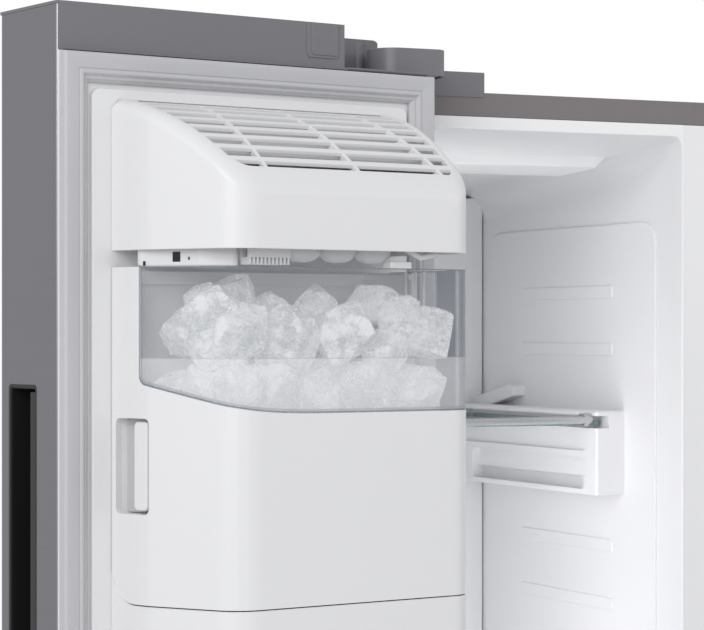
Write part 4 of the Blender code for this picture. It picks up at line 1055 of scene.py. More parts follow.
def ice_maker_switch():
    """The switch, a dot and a short mark on the slanted face of the ice maker's box."""
    corner = Vector((62.5, 33))
    way = (Vector((91, 84)) - corner).normalized()
    out = Vector((-way.y, way.x))
    marks = []
    for start, end, low, high, depth in ((32.0, 39.5, 1556.5, 1565, 0.5), (47.0, 48.6, 1558, 1560.6, 0.4)):
        a, b = corner + way * start, corner + way * end
        outline = [tuple(a - out), tuple(b - out), tuple(b + out * depth), tuple(a + out * depth)]
        marks.append(prism(outline, low, high))
    dot = corner + way * 3
    outline = [dot - out, dot + way * 2.5 - out, dot + way * 2.5 + out * 0.5, dot + out * 0.5]
    marks.append(prism([tuple(point) for point in outline], 1553.6, 1557.4))
    switch = soften(shape(joined(*marks), FREEZER), 0.25, 2)
    finished(switch, "ice_maker_switch", "black", "freezer_door", ())


# The seam, the bucket and its window


def seam_drop(i):
    """The height of the seam at a point of the housing's plan."""
    return seam_height(RING_S[i]) if i < FRONT_COUNT else BUCKET_BOTTOM + SEAM_RADIUS


def wall_columns(s_values, back, thickness):
    """Plan points at distances along the housing's front: outer ones, and inner ones at a thickness."""
    outer = housing_ring(0, back)
    inner = housing_ring(thickness, back)
    distances = along_ring(outer)
    columns = []
    for s in s_values:
        i = max(k for k in range(FRONT_COUNT) if distances[k] <= s + 0.001)
        i = min(i, FRONT_COUNT - 2)
        share = (s - distances[i]) / (distances[i + 1] - distances[i])
        first = Vector(outer[i]).lerp(Vector(outer[i + 1]), share)
        second = Vector(inner[i]).lerp(Vector(inner[i + 1]), share)
        columns.append((first, second))
    return columns


def stations(start, end, extra=()):
    """Distances along the plan: the plan's own points, the ends and any extra ones."""
    inside = [s for s in RING_S[:FRONT_COUNT] if start + 0.6 < s < end - 0.6]
    inside += [s for s in extra if start < s < end]
    return sorted({round(s, 3) for s in [start, end, *inside]})


def wall(start, end, thickness, levels, back=HOUSING_BACK, extra=(), sink=0.0, row_material=None):
    """A wall along the housing's front from one distance to another. levels(s) gives its heights."""
    spots = stations(start, end, extra)
    bm = bmesh.new()
    columns = []
    for s, (outer, inner) in zip(spots, wall_columns(spots, back, thickness)):
        if sink:
            outer = outer.lerp(inner, sink / thickness)
        columns.append([[bm.verts.new((*point, z)) for z in levels(s)] for point in (outer, inner)])
    rows = len(columns[0][0]) - 1
    for number, (a, b) in enumerate(zip(columns, columns[1:])):
        for row in range(rows):
            for side in (0, 1):
                face = bm.faces.new((a[side][row], b[side][row], b[side][row + 1], a[side][row + 1]))
                if row_material:
                    face.material_index = row_material(row, spots[number])
        for row in (0, rows):
            face = bm.faces.new((a[0][row], b[0][row], b[1][row], a[1][row]))
            if row_material:
                face.material_index = row_material(min(row, rows - 1), spots[number])
    for column in (columns[0], columns[-1]):
        for row in range(rows):
            bm.faces.new((column[0][row], column[0][row + 1], column[1][row + 1], column[1][row]))
    bmesh.ops.recalc_face_normals(bm, faces=bm.faces)
    return bm


# The latch's pocket in the bucket's slanted left side, and the plane of the bucket's back
LATCH_S = (5.5, 46.0)
LATCH_Z = (1341.0, 1423.0)
POCKET_DEPTH = 20.0
BUCKET_BACK = 5.8


def slanted_outline(span, depths):
    """A rectangle on the housing's left face, by distances along it and depths under it."""
    (s0, s1), (d0, d1) = span, depths
    return [on_slant(s0, d0), on_slant(s1, d0), on_slant(s1, d1), on_slant(s0, d1)]


def quarter_turn(steps):
    """Shares from 0 to 1 that are closer together at the start of a rounded corner."""
    return [1 - math.cos(math.radians(90 * i / steps)) for i in range(steps + 1)]


SEAM_STATIONS = [SEAM_RADIUS * share for share in quarter_turn(8)]
WINDOW_STATIONS = [WINDOW_START + WINDOW_CORNER + 10 * i for i in range(1, 12)]


def back_wall(start, raised, thickness, low, high, end=None):
    """A strip along the bucket's back, which turns forward in a wide bend at its right end."""
    bend = 40.0
    paths = []
    for offset in (raised, raised + thickness):
        path = [(start, BUCKET_BACK + offset)]
        if end:
            path.append((end, BUCKET_BACK + offset))
        else:
            for i in range(13):
                angle = math.radians(90 * i / 12)
                radius = bend - offset
                u = 346 - bend + radius * math.sin(angle)
                path.append((u, BUCKET_BACK + bend - radius * math.cos(angle)))
        paths.append(path)
    return prism(paths[0] + paths[1][::-1], low, high)


def bucket():
    """The bucket: walls under the window, a strip up its left edge, a floor, a back and the latch pocket."""
    corner = [WINDOW_START + WINDOW_CORNER * share for share in quarter_turn(6)]
    extra = [*SEAM_STATIONS, *corner, *WINDOW_STATIONS]
    front = wall(0, FRONT_END, 3.0, lambda s: (seam_height(s), window_height(s)), BUCKET_BACK, extra)
    body = shape(front, FREEZER)
    strip = wall(0, WINDOW_START, 3.0, lambda s: (window_height(s) - 3, BUCKET_TOP), BUCKET_BACK)
    block = prism(slanted_outline((2.5, 49.5), (1.5, POCKET_DEPTH + 2)), LATCH_Z[0] - 3, LATCH_Z[1] + 3)
    add(body, FREEZER, strip, block)
    round_z = rounded(rectangle(*LATCH_S, *LATCH_Z), 5.0)
    pocket = [[(*on_slant(s, depth), z) for s, z in round_z] for depth in (-4.0, POCKET_DEPTH)]
    cut(body, FREEZER, loft(pocket))
    soften(body, 0.7, 2, 50)
    level = BUCKET_BOTTOM
    rise = [(BUCKET_BACK + s * 0.972, seam_height(s)) for s in SEAM_STATIONS]
    profile = rise + [(140, level), (140, level + 3)] + [(p, z + 3) for p, z in rise[::-1]]
    base = shape(prism(profile, 40, 360, "X"), FREEZER)
    plan = housing_ring(0.8, BUCKET_BACK)
    combine(base, [shape(prism(plan, level - 5, level + 60), FREEZER)], "INTERSECT")
    back = shape(back_wall(54, 0.0, 3.0, level + SEAM_RADIUS, BUCKET_TOP - 1.5), FREEZER)
    band = shape(back_wall(58, 2.6, 5.5, 1538.5, BUCKET_TOP - 3, 312), FREEZER)
    ledge = shape(back_wall(300, 2.6, 3.5, 1544.5, BUCKET_TOP - 3), FREEZER)
    posts = []
    for u, p in ((339, 42), (338, 58), (339, 70)):
        posts.append(cylinder(1.6, 1480, BUCKET_TOP - 1, (u, p), 16))
    posts.append(tube([(338, 58, 1526), (334, 62, 1522), (330, 60, 1523)], 1.7))
    add_meshes(body, base, back, band, ledge, shape(joined(*posts), FREEZER))
    piece = finished(body, "bucket_shell", "white", "ice_bucket", ["ice_bucket"], 40)
    # Painted light: the bucket's inner faces take their own copy of the white plastic, tuned to the shade
    # inside.
    piece.data.materials.append(MATERIALS["bucket_inner_painted_light"])
    paint(piece, 1, lambda c, n: inside_bucket(c))
    return piece


def inside_bucket(c):
    """Whether a local point of the freezer door, in millimetres, lies on the bucket's inner side."""
    u, p, z = c.x - PIVOT_FROM_SIDE + FREEZER.width, c.y - PIVOT_FROM_FRAME, c.z
    if p < 8 or z < BUCKET_BOTTOM + 2:
        return False
    low, high = span_at(RING, min(max(p, 6.0), 130.0))
    pocket = u < 85 and LATCH_Z[0] - 4 < z < LATCH_Z[1] + 4
    return low + 2.2 < u < high - 2.2 and p < HOUSING_FRONT - 2.2 and not pocket


def window():
    """The window: clear above the ice line and frosted below it. Its dark rims and the dark band through its
    front bend are painted shade for the plastic's edges seen end on, with a light strip in the bend as a
    painted highlight.
    """
    side = FRONT_END - (HOUSING_FRONT - HOUSING_BACK - CORNER_RADIUS) - 6

    def levels(s):
        low = window_height(s) + 0.3
        return low, low + 1.2, low + 3.4, HAZE_Z, HAZE_Z + 0.8, BUCKET_TOP - 1.2, BUCKET_TOP - 0.2

    # Index 2 paints shade: dark at the rims, the left edge and through the front bend; the haze strip inside
    # the bend is a painted highlight.
    def material(row, s):
        if side + 6 < s < side + 10:
            return 1
        if s < WINDOW_START + 1.4 or side - 5 < s < side + 40:
            return 2
        return {0: 2, 1: 3, 2: 1, 3: 3, 4: 0, 5: 2}[row]

    start = WINDOW_START + 0.4
    corner = [start + (WINDOW_CORNER - 0.4) * share for share in quarter_turn(8)]
    extra = [*corner, WINDOW_START + 1.5, *[side + step for step in (-5, 6, 10, 40)], *WINDOW_STATIONS]
    pane = shape(wall(start, FRONT_END, 2.6, levels, BUCKET_BACK, extra, 0.35, material), FREEZER)
    materials = ["window_clear", "window_haze", "window_painted_shade", "window_line"]
    return finished(pane, "window_pane", materials, "ice_bucket", ["bucket_window"], 30)


def latch():
    """The latch: a grip bar standing in the bucket's pocket."""
    start, stop = 25.0, 41.5
    low, high = LATCH_Z[0] + 3, LATCH_Z[1] - 3
    face = rounded(rectangle(start, stop, low, high), 4.0)
    rings = [[(*on_slant(s, depth), z) for s, z in face] for depth in (2.5, 9.0)]
    grip = soften(shape(loft(rings), FREEZER), 1.6, 4)
    web = prism(slanted_outline((25.2, 29), (6, 19)), low + 4, high - 4)
    web = soften(shape(web, FREEZER), 1.0, 2)
    add_meshes(grip, web)
    return finished(grip, "latch_grip", "white", "bucket_latch", ["bucket_latch"])


def latch_recess():
    """The left half of the pocket: a sloping finger plate behind the grip, in a gray that is painted shade.
    """
    face = rounded(rectangle(LATCH_S[0] + 0.6, 26.5, LATCH_Z[0] + 0.8, LATCH_Z[1] - 0.8), [3, 0, 0, 3])
    slope = [(*on_slant(s, 12.0 + (s - 6) * 0.28), z) for s, z in face]
    plate = shape(loft([slope, [(*on_slant(s, 19.5), z) for s, z in face]]), FREEZER)
    return finished(plate, "latch_plate", "pocket_gray", "ice_bucket", ())


# Ice


def broken_block(rng, size):
    """A block cut along random planes, so that it is left with flat faces of different sizes."""
    bm = bmesh.new()
    bmesh.ops.create_cube(bm, size=1.0)
    sides = Vector([size * rng.uniform(0.74, 0.98) for _ in range(3)])
    for vert in bm.verts:
        vert.co = Vector([length * c * rng.uniform(0.88, 1.0) for length, c in zip(sides, vert.co)])
    for _ in range(9):
        way = Vector([rng.choice((-1, 1)) * rng.uniform(0.35, 1.0) for _ in range(3)]).normalized()
        place = way * size * rng.uniform(0.42, 0.55)
        geometry = [*bm.verts, *bm.edges, *bm.faces]
        bmesh.ops.bisect_plane(bm, geom=geometry, plane_co=place, plane_no=way, clear_outer=True)
        bmesh.ops.holes_fill(bm, edges=[edge for edge in bm.edges if edge.is_boundary])
    bmesh.ops.recalc_face_normals(bm, faces=bm.faces)
    return bm


def ice_chunk(rng, centre, size):
    """One chunk of ice: a broken block with melted edges and a rough, wavy skin."""
    bm = broken_block(rng, size)
    bmesh.ops.bevel(bm, geom=list(bm.edges), offset=size * 0.035, segments=2, affect="EDGES", profile=0.55)
    bmesh.ops.triangulate(bm, faces=bm.faces)
    for _ in range(2):
        long_edges = [edge for edge in bm.edges if edge.calc_length() > size * 0.09]
        bmesh.ops.subdivide_edges(bm, edges=long_edges, cuts=1)
        bmesh.ops.triangulate(bm, faces=bm.faces)
    turn = Matrix.Rotation(rng.uniform(0, 6.28), 3, Vector([rng.gauss(0, 1) for _ in range(3)]).normalized())
    seed = Vector([rng.uniform(0, 90) for _ in range(3)])
    bm.normal_update()
    for vert in bm.verts:
        place = vert.co / size
        wave = noise.noise(place * 3.0 + seed) * 0.03 + noise.noise(place * 9.0 + seed) * 0.016
        vert.co += vert.normal * wave * size
    for vert in bm.verts:
        vert.co = turn @ vert.co + Vector(centre)
    return bm


# CHUNK_ROOM is the room that a chunk keeps to the walls, as a share of its size.
# TOP_CHUNKS are the chunks that show, by u, p, height and size.
ICE_SEED = 11
CHUNK_ROOM = 0.58
TOP_CHUNKS = (
    (83, 55, 1496, 44), (93, 76, 1483, 40), (115, 72, 1510, 50), (116, 98, 1493, 49), (156, 36, 1528, 41),
    (180, 52, 1511, 41), (171, 100, 1490, 59), (232, 52, 1519, 37), (232, 98, 1496, 55),
    (297, 52, 1521, 45), (271, 104, 1480, 40), (305, 78, 1501, 52), (336, 92, 1497, 48),
    (351, 36, 1519, 34), (124, 34, 1522, 31),
)


def ice_places(rng):
    """Where the chunks lie and how large they are: two buried layers, and over them the ones that show."""
    places = []
    for layer, level in enumerate((1404.0, 1449.0)):
        for row, p in enumerate((36.0, 68.0, 100.0)):
            for column in range(6):
                u = 84.0 + 23.0 * ((layer + row) % 2) + column * 48.0
                jitter = [rng.uniform(-8, 8) for _ in range(3)]
                places.append(((u + jitter[0], p + jitter[1], level + jitter[2]), rng.uniform(42, 54)))
    places += [((u, p, z), size) for u, p, z, size in TOP_CHUNKS]
    return places


def inside_walls(point, room):
    """Moves a chunk's centre in until the chunk clears the bucket's walls."""
    u, p, z = point
    p = min(max(p, 10 + room), HOUSING_FRONT - 4.5 - room)
    start, bend = Vector(HOUSING_BEND), Vector(HOUSING_TURN)
    way = (bend - start).normalized()
    gap = (Vector((u, p)) - start).dot(Vector((way.y, -way.x)))
    u += max(0.0, 5.0 + room - gap) / way.y
    return min(max(u, HOUSING_BEND[0] + 2 + room), HOUSING_RIGHT - 4.5 - room), p, z


def ice():
    """The ice in the bucket, as one piece."""
    rng = random.Random(ICE_SEED)
    meshes = []
    for place, size in ice_places(rng):
        meshes.append(ice_chunk(rng, inside_walls(place, size * CHUNK_ROOM), size))
    heap = shape(joined(*meshes), FREEZER)
    return finished(heap, "ice_chunks", "ice", "ice_bucket", (), 24)


# The freezer door's lining


def freezer_lining():
    """The lining: the foam body, a ridge, the housing under the bucket and a dyke round the bin's recess."""
    block = liner_block(FREEZER)
    cut(block, FREEZER, prism(rounded(rectangle(*NICHE_U, *NICHE_Z), 8.0), -110, -34, "Y"))
    soften(block, 1.0, 2)
    top = rounded([(32, 97), (368.5, 97), (368.5, 1707), (32, 1707)], [8, 8, 7, 9], 8)
    ridge = soften(shape(prism(top, -0.5, RIDGE_P, "Y"), FREEZER), 1.6, 3)
    upper = [(u, p, seam_drop(i) - 1.0) for i, (u, p) in enumerate(RING)]
    rim = [(u, p, seam_drop(i) - 1.6) for i, (u, p) in enumerate(housing_ring(2.4, HOUSING_BACK, 2.4))]
    flat = [(u, p, BUCKET_BOTTOM - 3.0) for u, p in housing_ring(2.8, HOUSING_BACK, 2.8)]
    soft = [(u, p, seam_drop(i) - 1.8) for i, (u, p) in enumerate(RING)]
    edge = [(u, p, seam_drop(i) - 1.0) for i, (u, p) in enumerate(housing_ring(0.8, HOUSING_BACK, 0.8))]
    low = [[(u, p, HOUSING_BOTTOM + rise) for u, p in housing_ring(inset)] for rise, inset in
           ((0, 16), (1.5, 9), (6, 3.5), (14, 0))]
    housing = shape(loft([*low, soft, edge, rim, flat]), FREEZER)
    dyke_outer = rounded(rectangle(HOUSING_LEFT, HOUSING_RIGHT, 126, 652), [14, 14, 0, 0])
    dyke = shape(prism(dyke_outer, 0, 25, "Y"), FREEZER)
    for part in (dyke, block, ridge):
        cut(part, FREEZER, prism(rounded(rectangle(60, 328, 150, 610), 16), -20, 40, "Y"))
    soften(dyke, 4.0, 4)
    add_meshes(block, ridge, housing, dyke)
    replaced = ["freezer_door_liner"]
    return finished(block, "freezer_door_lining", "white", "freezer_door", replaced, 40)


# The cabinet's compartments


# CEILING gives the height of a compartment's ceiling at some distances from its mouth.
CEILING = ((0.0, 1700.0), (90.0, 1684.0), (530.0, 1660.0))
LINER_BACK = 530.0
BACK_RADIUS = 28.0
EDGE = HALF - 1.5
FRONT_BOTTOM = 52.0


def ceiling_at(y):
    """The height of the ceiling at a distance from the mouth."""
    for (y0, z0), (y1, z1) in zip(CEILING, CEILING[1:]):
        if y <= y1:
            return z0 + (z1 - z0) * (y - y0) / (y1 - y0)
    return CEILING[-1][1]


def liner_ring(span, y, inset, grow):
    """One ring of the liner: tight corners at the mouth, wide ones further back."""
    radius = 9.0 + 23.0 * min(max(y, 0.0) / 150, 1.0)
    radius = max(radius - inset * 0.8, 5.0) + grow
    move = grow - inset
    outline = rectangle(span[0] - move, span[1] + move, MOUTH_Z[0] - move, ceiling_at(max(y, 0.0)) + move)
    return [(x, y + (grow if inset > 0 else 0), z) for x, z in rounded(outline, radius, 7)]


def liner_shell(span):
    """A compartment's moulded shell, from its outer back over the mouth's lip to its inner back."""
    places = [(y, 0.0) for y in (12.0, 45.0, 84.0, 96.0, 250.0)]
    for i in range(7):
        turn = math.radians(15 * i)
        places.append((LINER_BACK - BACK_RADIUS * (1 - math.sin(turn)), BACK_RADIUS * (1 - math.cos(turn))))
    outer = [liner_ring(span, y, inset, LINER_WALL) for y, inset in places[::-1]]
    lip_steps = ((0.9, 2.0), (0.0, 1.7), (0.25, 0.8), (0.9, 0.25), (2.0, 0.0))
    lip = [liner_ring(span, y, -out, 0.0) for y, out in lip_steps]
    inner = [liner_ring(span, y, inset, 0.0) for y, inset in places]
    return loft([*outer, *lip, *inner])


def flange_plate(span, edges):
    """The flat front of the liner round the mouth."""
    hole = [(x, z) for x, _, z in liner_ring(span, 0.0, -1.6, 0.0)]
    outer = rounded(rectangle(*edges, FRONT_BOTTOM, STRIP_BOTTOM - 0.3), 0.8, 7)
    steps = ((outer, 0.0), (hole, 0.0), (hole, 2.0), (outer, 2.0))
    return loft([[(x, y, z) for x, z in ring] for ring, y in steps], closed=True)


BRACKET_Z = (1320.0, 1412.0)
BRACKET_REACH = 37.0


def mirrored_x(span, side, x):
    """A place at a distance from a compartment's left or right wall."""
    return span[0] + x if side == LEFT else span[1] - x


def wall_box(span, side, depths, ys, zs):
    """A box between two depths measured from a side wall."""
    xs = sorted(mirrored_x(span, side, depth) for depth in depths)
    return boxes((xs, ys, zs))


def wall_prism(span, side, outline, depths):
    """A (y, z) outline pushed between two depths measured from a side wall."""
    low, high = sorted(mirrored_x(span, side, depth) for depth in depths)
    return prism(outline, low, high, "X")


def bracket(span, side):
    """The moulded shelf bracket: a groove for the glass, a shallow upper recess and a deep lower one."""
    front = 124.0 if side == LEFT else 114.0
    outline = rounded(rectangle(front, 446, *BRACKET_Z), [5, 5, 3, 3])
    block = soften(shape(wall_prism(span, side, outline, (-1, BRACKET_REACH)), CABINET), 3.0, 4)
    groove = wall_box(span, side, (BRACKET_REACH - 16, BRACKET_REACH + 5), (100, 440), (1393, 1406.5))
    upper = rounded(rectangle(134, 455, 1368, 1389), [10, 0, 0, 6])
    lower = rounded(rectangle(137, 408, 1326, 1361), [12, 12, 8, 6])
    notch = rounded(rectangle(160, 408, 1326, 1340), [4, 8, 0, 0])
    hollows = [wall_prism(span, side, outline, (BRACKET_REACH - depth, BRACKET_REACH + 5))
               for outline, depth in ((upper, 3), (lower, 9), (notch, 16))]
    cut(block, CABINET, groove, *hollows)
    return soften(block, 1.2, 3, 50)


def wall_panel(span, side, rear):
    """One wide raised panel on a side wall."""
    panel = rounded(rectangle(51, rear, 150, 1615), [20, 20, 34, 26])
    return soften(shape(wall_prism(span, side, panel, (-1, 2.2)), CABINET), 1.9, 4)


def wall_pads(span, side):
    """The side wall's relief: one wide panel and pairs of thin ribs."""
    parts = [wall_panel(span, side, 438)]
    for middle in (1541, 1478, 1263, 1199, 1120, 1056, 992):
        rib = rounded(rectangle(139, 349, middle - 7, middle + 7), 4)
        parts.append(soften(shape(wall_prism(span, side, rib, (0, 3.6)), CABINET), 1.1, 3))
    return parts


def hold_down(span, side):
    """The hook over the glass at the back of a bracket."""
    outline = [(446, 1406), (452, 1414), (446, 1419), (352, 1437)]
    outline += [(341, 1434), (343, 1423), (400, 1411), (404, 1404)]
    hook = shape(wall_prism(span, side, rounded(outline, 2.5, 4), (-1, 17)), CABINET)
    return soften(hook, 2.0, 3)


def machine_step(span):
    """The raised part of the compartment's floor, over the machine room."""
    outline = rounded([(400, 100), (400, 262), (560, 262), (560, 100)], [0, 30, 0, 0])
    return shape(prism(outline, span[0] - 1, span[1] + 1, "X"), CABINET)


def rails(span, reach, tops, ys):
    """Pairs of rails for drawers or shelves, by the heights of their tops."""
    parts = []
    for side in (LEFT, RIGHT):
        for top in tops:
            rail = rounded(rectangle(*ys, top - 13.5, top), [3, 3, 3, 3])
            parts.append(soften(shape(wall_prism(span, side, rail, (-1, reach)), CABINET), 2.0, 3))
    return parts


def compartment(kind, span, parts):
    """The liner of a compartment with its front flange, and the parts moulded into its walls."""
    edges = (-EDGE, span[1] + LINER_WALL) if kind == "freezer" else (span[0] - LINER_WALL, EDGE)
    liner = shape(joined(liner_shell(span), flange_plate(span, edges)), CABINET)
    add_meshes(liner, machine_step(span), *parts)
    piece = finished(liner, kind + "_compartment", "liner", "cabinet", [kind + "_liner"], 32)
    # Painted light: the liner's front-facing faces at the mouth take the lighter copy of its plastic.
    piece.data.materials.append(MATERIALS["rim"])
    paint(piece, 1, lambda c, n: n.y < -0.8 and c.y < 3)
    return piece


def freezer_compartment():
    """The left compartment, with the shelf's brackets and hooks, the walls' relief and the rails."""
    span = FREEZER_X
    parts = [bracket(span, LEFT), bracket(span, RIGHT), hold_down(span, LEFT), hold_down(span, RIGHT)]
    parts += wall_pads(span, LEFT) + wall_pads(span, RIGHT)
    parts += rails(span, 16, (511.5, 786.5), (134, 430))
    return compartment("freezer", span, parts)


def fridge_compartment():
    """The right compartment, with rails for its drawers and shelves."""
    span = FRIDGE_X
    parts = rails(span, 16, (511.5, 786.5), (134, 430)) + rails(span, 14, (1339.5, 899.5), (134, 470))
    parts += [wall_panel(span, side, 450) for side in (LEFT, RIGHT)]
    return compartment("fridge", span, parts)


def ceiling_light(kind, span):
    """The light's frosted cover: a shallow box under the ceiling, with sloped ends."""
    rings = []
    for drop, shrink, slope in ((-0.6, 0.0, 0.0), (11.0, 11.5, 2.0), (12.0, 14.0, 5.0)):
        front, back = 92 + slope, 184 - shrink
        left, right = span[0] + 40 + shrink, span[1] - 38 - shrink
        plan = ((left, front), (right, front), (right, back), (left, back))
        rings.append([(x, y, ceiling_at(y) - drop) for x, y in plan])
    lens = shape(loft(rings), CABINET)
    soften(lens, 0.8, 2)
    return finished(lens, kind + "_light_cover", "light", "cabinet", [kind + "_light"])


def freezer_shelf():
    """The glass shelf with ground edges, and the steel rod along its front with a clip at each end."""
    low, high = FREEZER_X
    inset = BRACKET_REACH - 14
    plate = rounded(rectangle(low + inset, high - inset, 128.7, 436), 4)
    glass = soften(shape(prism(plate, 1396, 1401), CABINET), 0.8, 2)
    materials = ["glass", "glass_edge"]
    finished(glass, "shelf_glass_plate", materials, "freezer_shelf", ["freezer_shelf"])
    paint(glass, 1, lambda c, n: abs(n.z) < 0.8)
    half = (high - low) / 2 - BRACKET_REACH - 0.5
    middle = (low + high) / 2
    profile = [(0, half), (2.6, half), (3.9, half - 0.7), (4.25, half - 2.2)]
    profile += [(radius, -end) for radius, end in profile[::-1]]
    rod = shape(lathe(profile, (middle, 124.0, 1402.0)), CABINET)
    clips = []
    for side in (LEFT, RIGHT):
        x = middle + side * (half - 7)
        clip = rounded(rectangle(121, 134.5, 1395, 1409), [4, 0, 0, 5])
        low_x, high_x = sorted((x - side * 3, x + side * 3))
        clips.append(soften(shape(prism(clip, low_x, high_x, "X"), CABINET), 0.8, 2))
    add_meshes(rod, *clips)
    finished(rod, "shelf_front_rod", "metal", "freezer_shelf", ["freezer_shelf_rod"])
    return glass


def lathe(profile, centre, steps=40):
    """A turned body: a profile of (radius, distance) swept round an axis that runs along x."""
    bm = bmesh.new()
    rings = []
    for radius, distance in profile:
        ring = []
        for step in range(steps if radius else 1):
            angle = 2 * math.pi * step / steps
            place = Vector((distance, radius * math.cos(angle), radius * math.sin(angle)))
            ring.append(bm.verts.new(place + Vector(centre)))
        rings.append(ring)
    for first, second in zip(rings, rings[1:]):
        for i in range(steps):
            j = (i + 1) % steps
            corners = [first[i % len(first)], first[j % len(first)]]
            corners += [second[j % len(second)], second[i % len(second)]]
            corners = list(dict.fromkeys(corners))
            if len(corners) > 2:
                bm.faces.new(corners)
    bmesh.ops.recalc_face_normals(bm, faces=bm.faces)
    return bm


# Hinge covers, rail and mullion


def from_side(side, distance):
    """The x of a place at a distance from the case's left or right side."""
    return side * (HALF - distance)


def side_outline(side, points):
    return [(from_side(side, distance), y) for distance, y in points]


def nose_outline(grow=0.0, rear=-4.0):
    """Plan of a hinge cover's front part, by distance from the case's side and y."""
    points = arc((16, -62), 26, 182, 258, 12)
    points += [(54, -88), (60, -83), (63, -77), (64, -70), (64, rear), (24, rear), (21, -26)]
    points += arc((16, -62), 26, 118, 150, 6)
    return grown(points, grow)


def hinge_cover(kind, side):
    """The cover over a top hinge: a rounded nose over the pin, and a lower part on the cabinet."""
    nose = shape(prism(side_outline(side, nose_outline()), 1741.5, 1767), CABINET)
    xs = sorted(from_side(side, d) for d in (22, 146))
    low = shape(boxes((xs, (-1.0, 60), (1732, 1757))), CABINET)
    tops = side_outline(side, nose_outline(-2, 12))
    cut(nose, CABINET, prism(tops, 1730, 1765))
    hollow_x = sorted(from_side(side, d) for d in (24.5, 144))
    under_x = sorted(from_side(side, d) for d in (15, 150))
    cut(low, CABINET, boxes((hollow_x, (1.6, 58), (CASE_TOP, 1755))),
        boxes((under_x, (-0.3, 70), (1727, CASE_TOP + 0.3))))
    soften(nose, 2.2, 4)
    soften(low, 1.8, 3)
    add_meshes(nose, low)
    replaced = [kind + "_hinge_cover"]
    return finished(nose, kind + "_hinge_hood", "hinge_plastic", "cabinet", replaced)


def top_rail():
    """The grained rail over the compartments, with rounded edges."""
    low, high = box_mm("top_rail")
    xs = (low.x - CABINET_X, high.x - CABINET_X)
    ys = (low.y - CABINET_Y, high.y - CABINET_Y)
    outline = rounded(rectangle(*ys, low.z, high.z), [0.8, 0.3, 0.3, 1.4])
    rail = shape(prism(outline, *xs, "X"), CABINET)
    return finished(rail, "rail_strip", "strip", "cabinet", ["top_rail"])


# Every other node keeps its own shape, with rounded edges and a detailed surface


SLOT_MATERIALS = {
    "steel": "steel", "cap_plastic": "cap", "strip": "strip", "case_paint": "paint", "white_plastic": "white",
    "foamed_door": "white", "liner_white": "liner", "mullion_gray": "mullion", "gasket_rubber": "gasket",
    "black_plastic": "black", "clear_plastic": "clear", "shelf_glass": "glass", "bright_metal": "metal",
    "foam": "foam", "zinc_steel": "zinc", "copper_tube": "copper", "pump_black": "pump", "rubber": "dark",
}


def refine_rest():
    """Shows every node that no other piece stands for."""
    for part in frame["record"]["subparts"]:
        if part["node"] not in REPLACED:
            slot = part["material_slot"]
            refined(part["node"], SLOT_MATERIALS[slot], 0.8)


# Camera, light and floor


CAMERA_FROM_CABINET = (-1458.5, -2221.6)
CAMERA_HEIGHT = 1496
CAMERA_TURN = -24.3
LENS_TO_SENSOR = 2489 / 704
SHIFT = 18 / 704
SENSOR_WIDTH = 36.0


def camera():
    """A long level lens, turned a little to the right."""
    data = bpy.data.cameras.new("camera")
    data.sensor_width = SENSOR_WIDTH
    data.lens = LENS_TO_SENSOR * SENSOR_WIDTH
    data.shift_y = SHIFT
    data.clip_start = 0.05
    eye = bpy.data.objects.new("camera", data)
    bpy.context.scene.collection.objects.link(eye)
    right, back = CAMERA_FROM_CABINET
    eye.location = Vector((CABINET_X + right, CABINET_Y + back, CAMERA_HEIGHT)) * MM
    eye.rotation_euler = (math.radians(90), 0, math.radians(CAMERA_TURN))
    bpy.context.scene.camera = eye


def area_light(name, place, target, size, power):
    """A soft rectangular light at a place, aimed at a target."""
    data = bpy.data.lights.new(name, "AREA")
    data.shape = "RECTANGLE"
    data.size, data.size_y = size
    data.energy = power
    light = bpy.data.objects.new(name, data)
    bpy.context.scene.collection.objects.link(light)
    light.location = Vector(place)
    light.rotation_euler = (Vector(target) - Vector(place)).to_track_quat("-Z", "Y").to_euler()
    return light


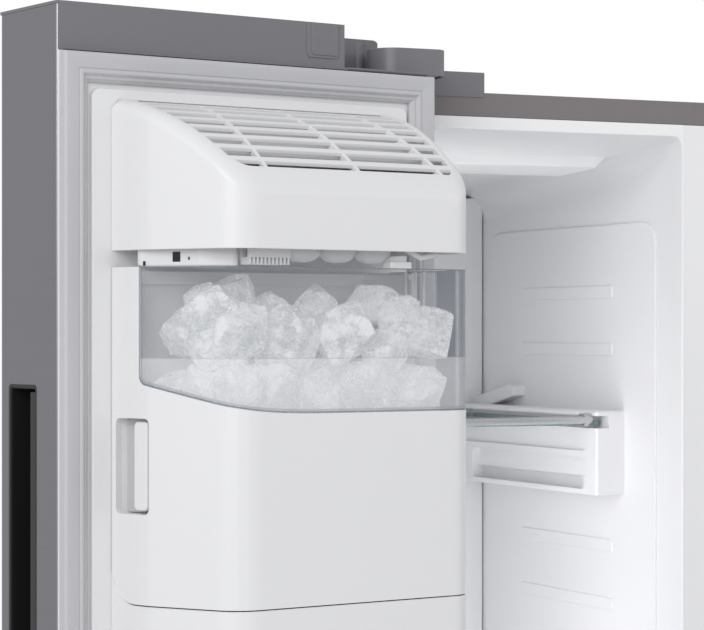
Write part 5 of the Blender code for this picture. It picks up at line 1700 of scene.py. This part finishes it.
def studio():
    """A white studio: even light, two large soft lights in front, and a lamp in each compartment."""
    world = bpy.data.worlds.new("studio")
    bpy.context.scene.world = world
    world.use_nodes = True
    tree = world.node_tree
    seen = tree.nodes["Background"]
    seen.inputs["Color"].default_value = (1, 1, 1, 1)
    seen.inputs["Strength"].default_value = 1.0
    lit = tree.nodes.new("ShaderNodeBackground")
    lit.inputs["Color"].default_value = (0.985, 0.99, 1.0, 1)
    lit.inputs["Strength"].default_value = 0.64
    path = tree.nodes.new("ShaderNodeLightPath")
    mix = tree.nodes.new("ShaderNodeMixShader")
    tree.links.new(path.outputs["Is Camera Ray"], mix.inputs["Fac"])
    tree.links.new(lit.outputs["Background"], mix.inputs[1])
    tree.links.new(seen.outputs["Background"], mix.inputs[2])
    tree.links.new(mix.outputs["Shader"], tree.nodes["World Output"].inputs["Surface"])
    area_light("key", (-3.0, -3.0, 2.8), (-0.3, 0.0, 1.2), (2.4, 2.0), 62)
    area_light("fill", (3.4, -2.2, 2.8), (0.0, 0.0, 1.2), (2.0, 2.0), 14)
    for name, span in (("freezer", FREEZER_X), ("fridge", FRIDGE_X)):
        place = CABINET.matrix @ CABINET.local((span[0] + 60, 40, 1180))
        inside = CABINET.matrix @ CABINET.local((span[1], 330, 1260))
        lamp = area_light(name + "_lamp", place, inside, (0.10, 0.78), 1.15)
        lamp.visible_camera = False
    bpy.context.scene.view_settings.view_transform = "Standard"


def floor():
    """The studio's floor."""
    bm = bmesh.new()
    bmesh.ops.create_grid(bm, x_segments=12, y_segments=12, size=7.0)
    mesh = bpy.data.meshes.new("floor")
    bm.to_mesh(mesh)
    bm.free()
    ground = bpy.data.objects.new("floor", mesh)
    bpy.context.scene.collection.objects.link(ground)
    mesh.materials.append(moulded("floor_paint", (0.86, 0.86, 0.86), 0.6, 300.0, 0.05, 0.01))


# The whole object


def door_shell(space, kind, holes=()):
    door_skin(space, kind, holes)
    door_cap(space, kind)
    door_gasket(space, kind)
    door_handle(space, kind)


def build_freezer_door():
    room = 2.8
    us, zs = [(low - room, high + room) for low, high in (NICHE_U, NICHE_Z)]
    door_shell(FREEZER, "freezer", [boxes((us, (-DOOR_THICKNESS - 5, -90), zs))])
    freezer_lining()
    ice_cover()
    cover_inside()
    ice_maker()
    ice_maker_guard()
    ice_maker_switch()
    bucket()
    window()
    latch()
    latch_recess()
    ice()
    door_bin(FREEZER, "freezer_door_bin_tub", (60.3, 327.7), (-19.7, 98), (330, 450), "freezer_door_bin")


def build_fridge_door():
    door_shell(FRIDGE, "fridge")
    for name, zs in (("fridge_door_bin_lower", (420, 540)), ("fridge_door_bin_upper", (1080, 1200))):
        door_bin(FRIDGE, name + "_tub", (60.3, 435.7), (-24.7, 98), zs, name)


def build_cabinet():
    freezer_compartment()
    fridge_compartment()
    ceiling_light("freezer", FREEZER_X)
    ceiling_light("fridge", FRIDGE_X)
    freezer_shelf()
    hinge_cover("freezer", LEFT)
    hinge_cover("fridge", RIGHT)
    top_rail()


camera()
studio()
floor()
build_freezer_door()
build_fridge_door()
build_cabinet()
refine_rest()
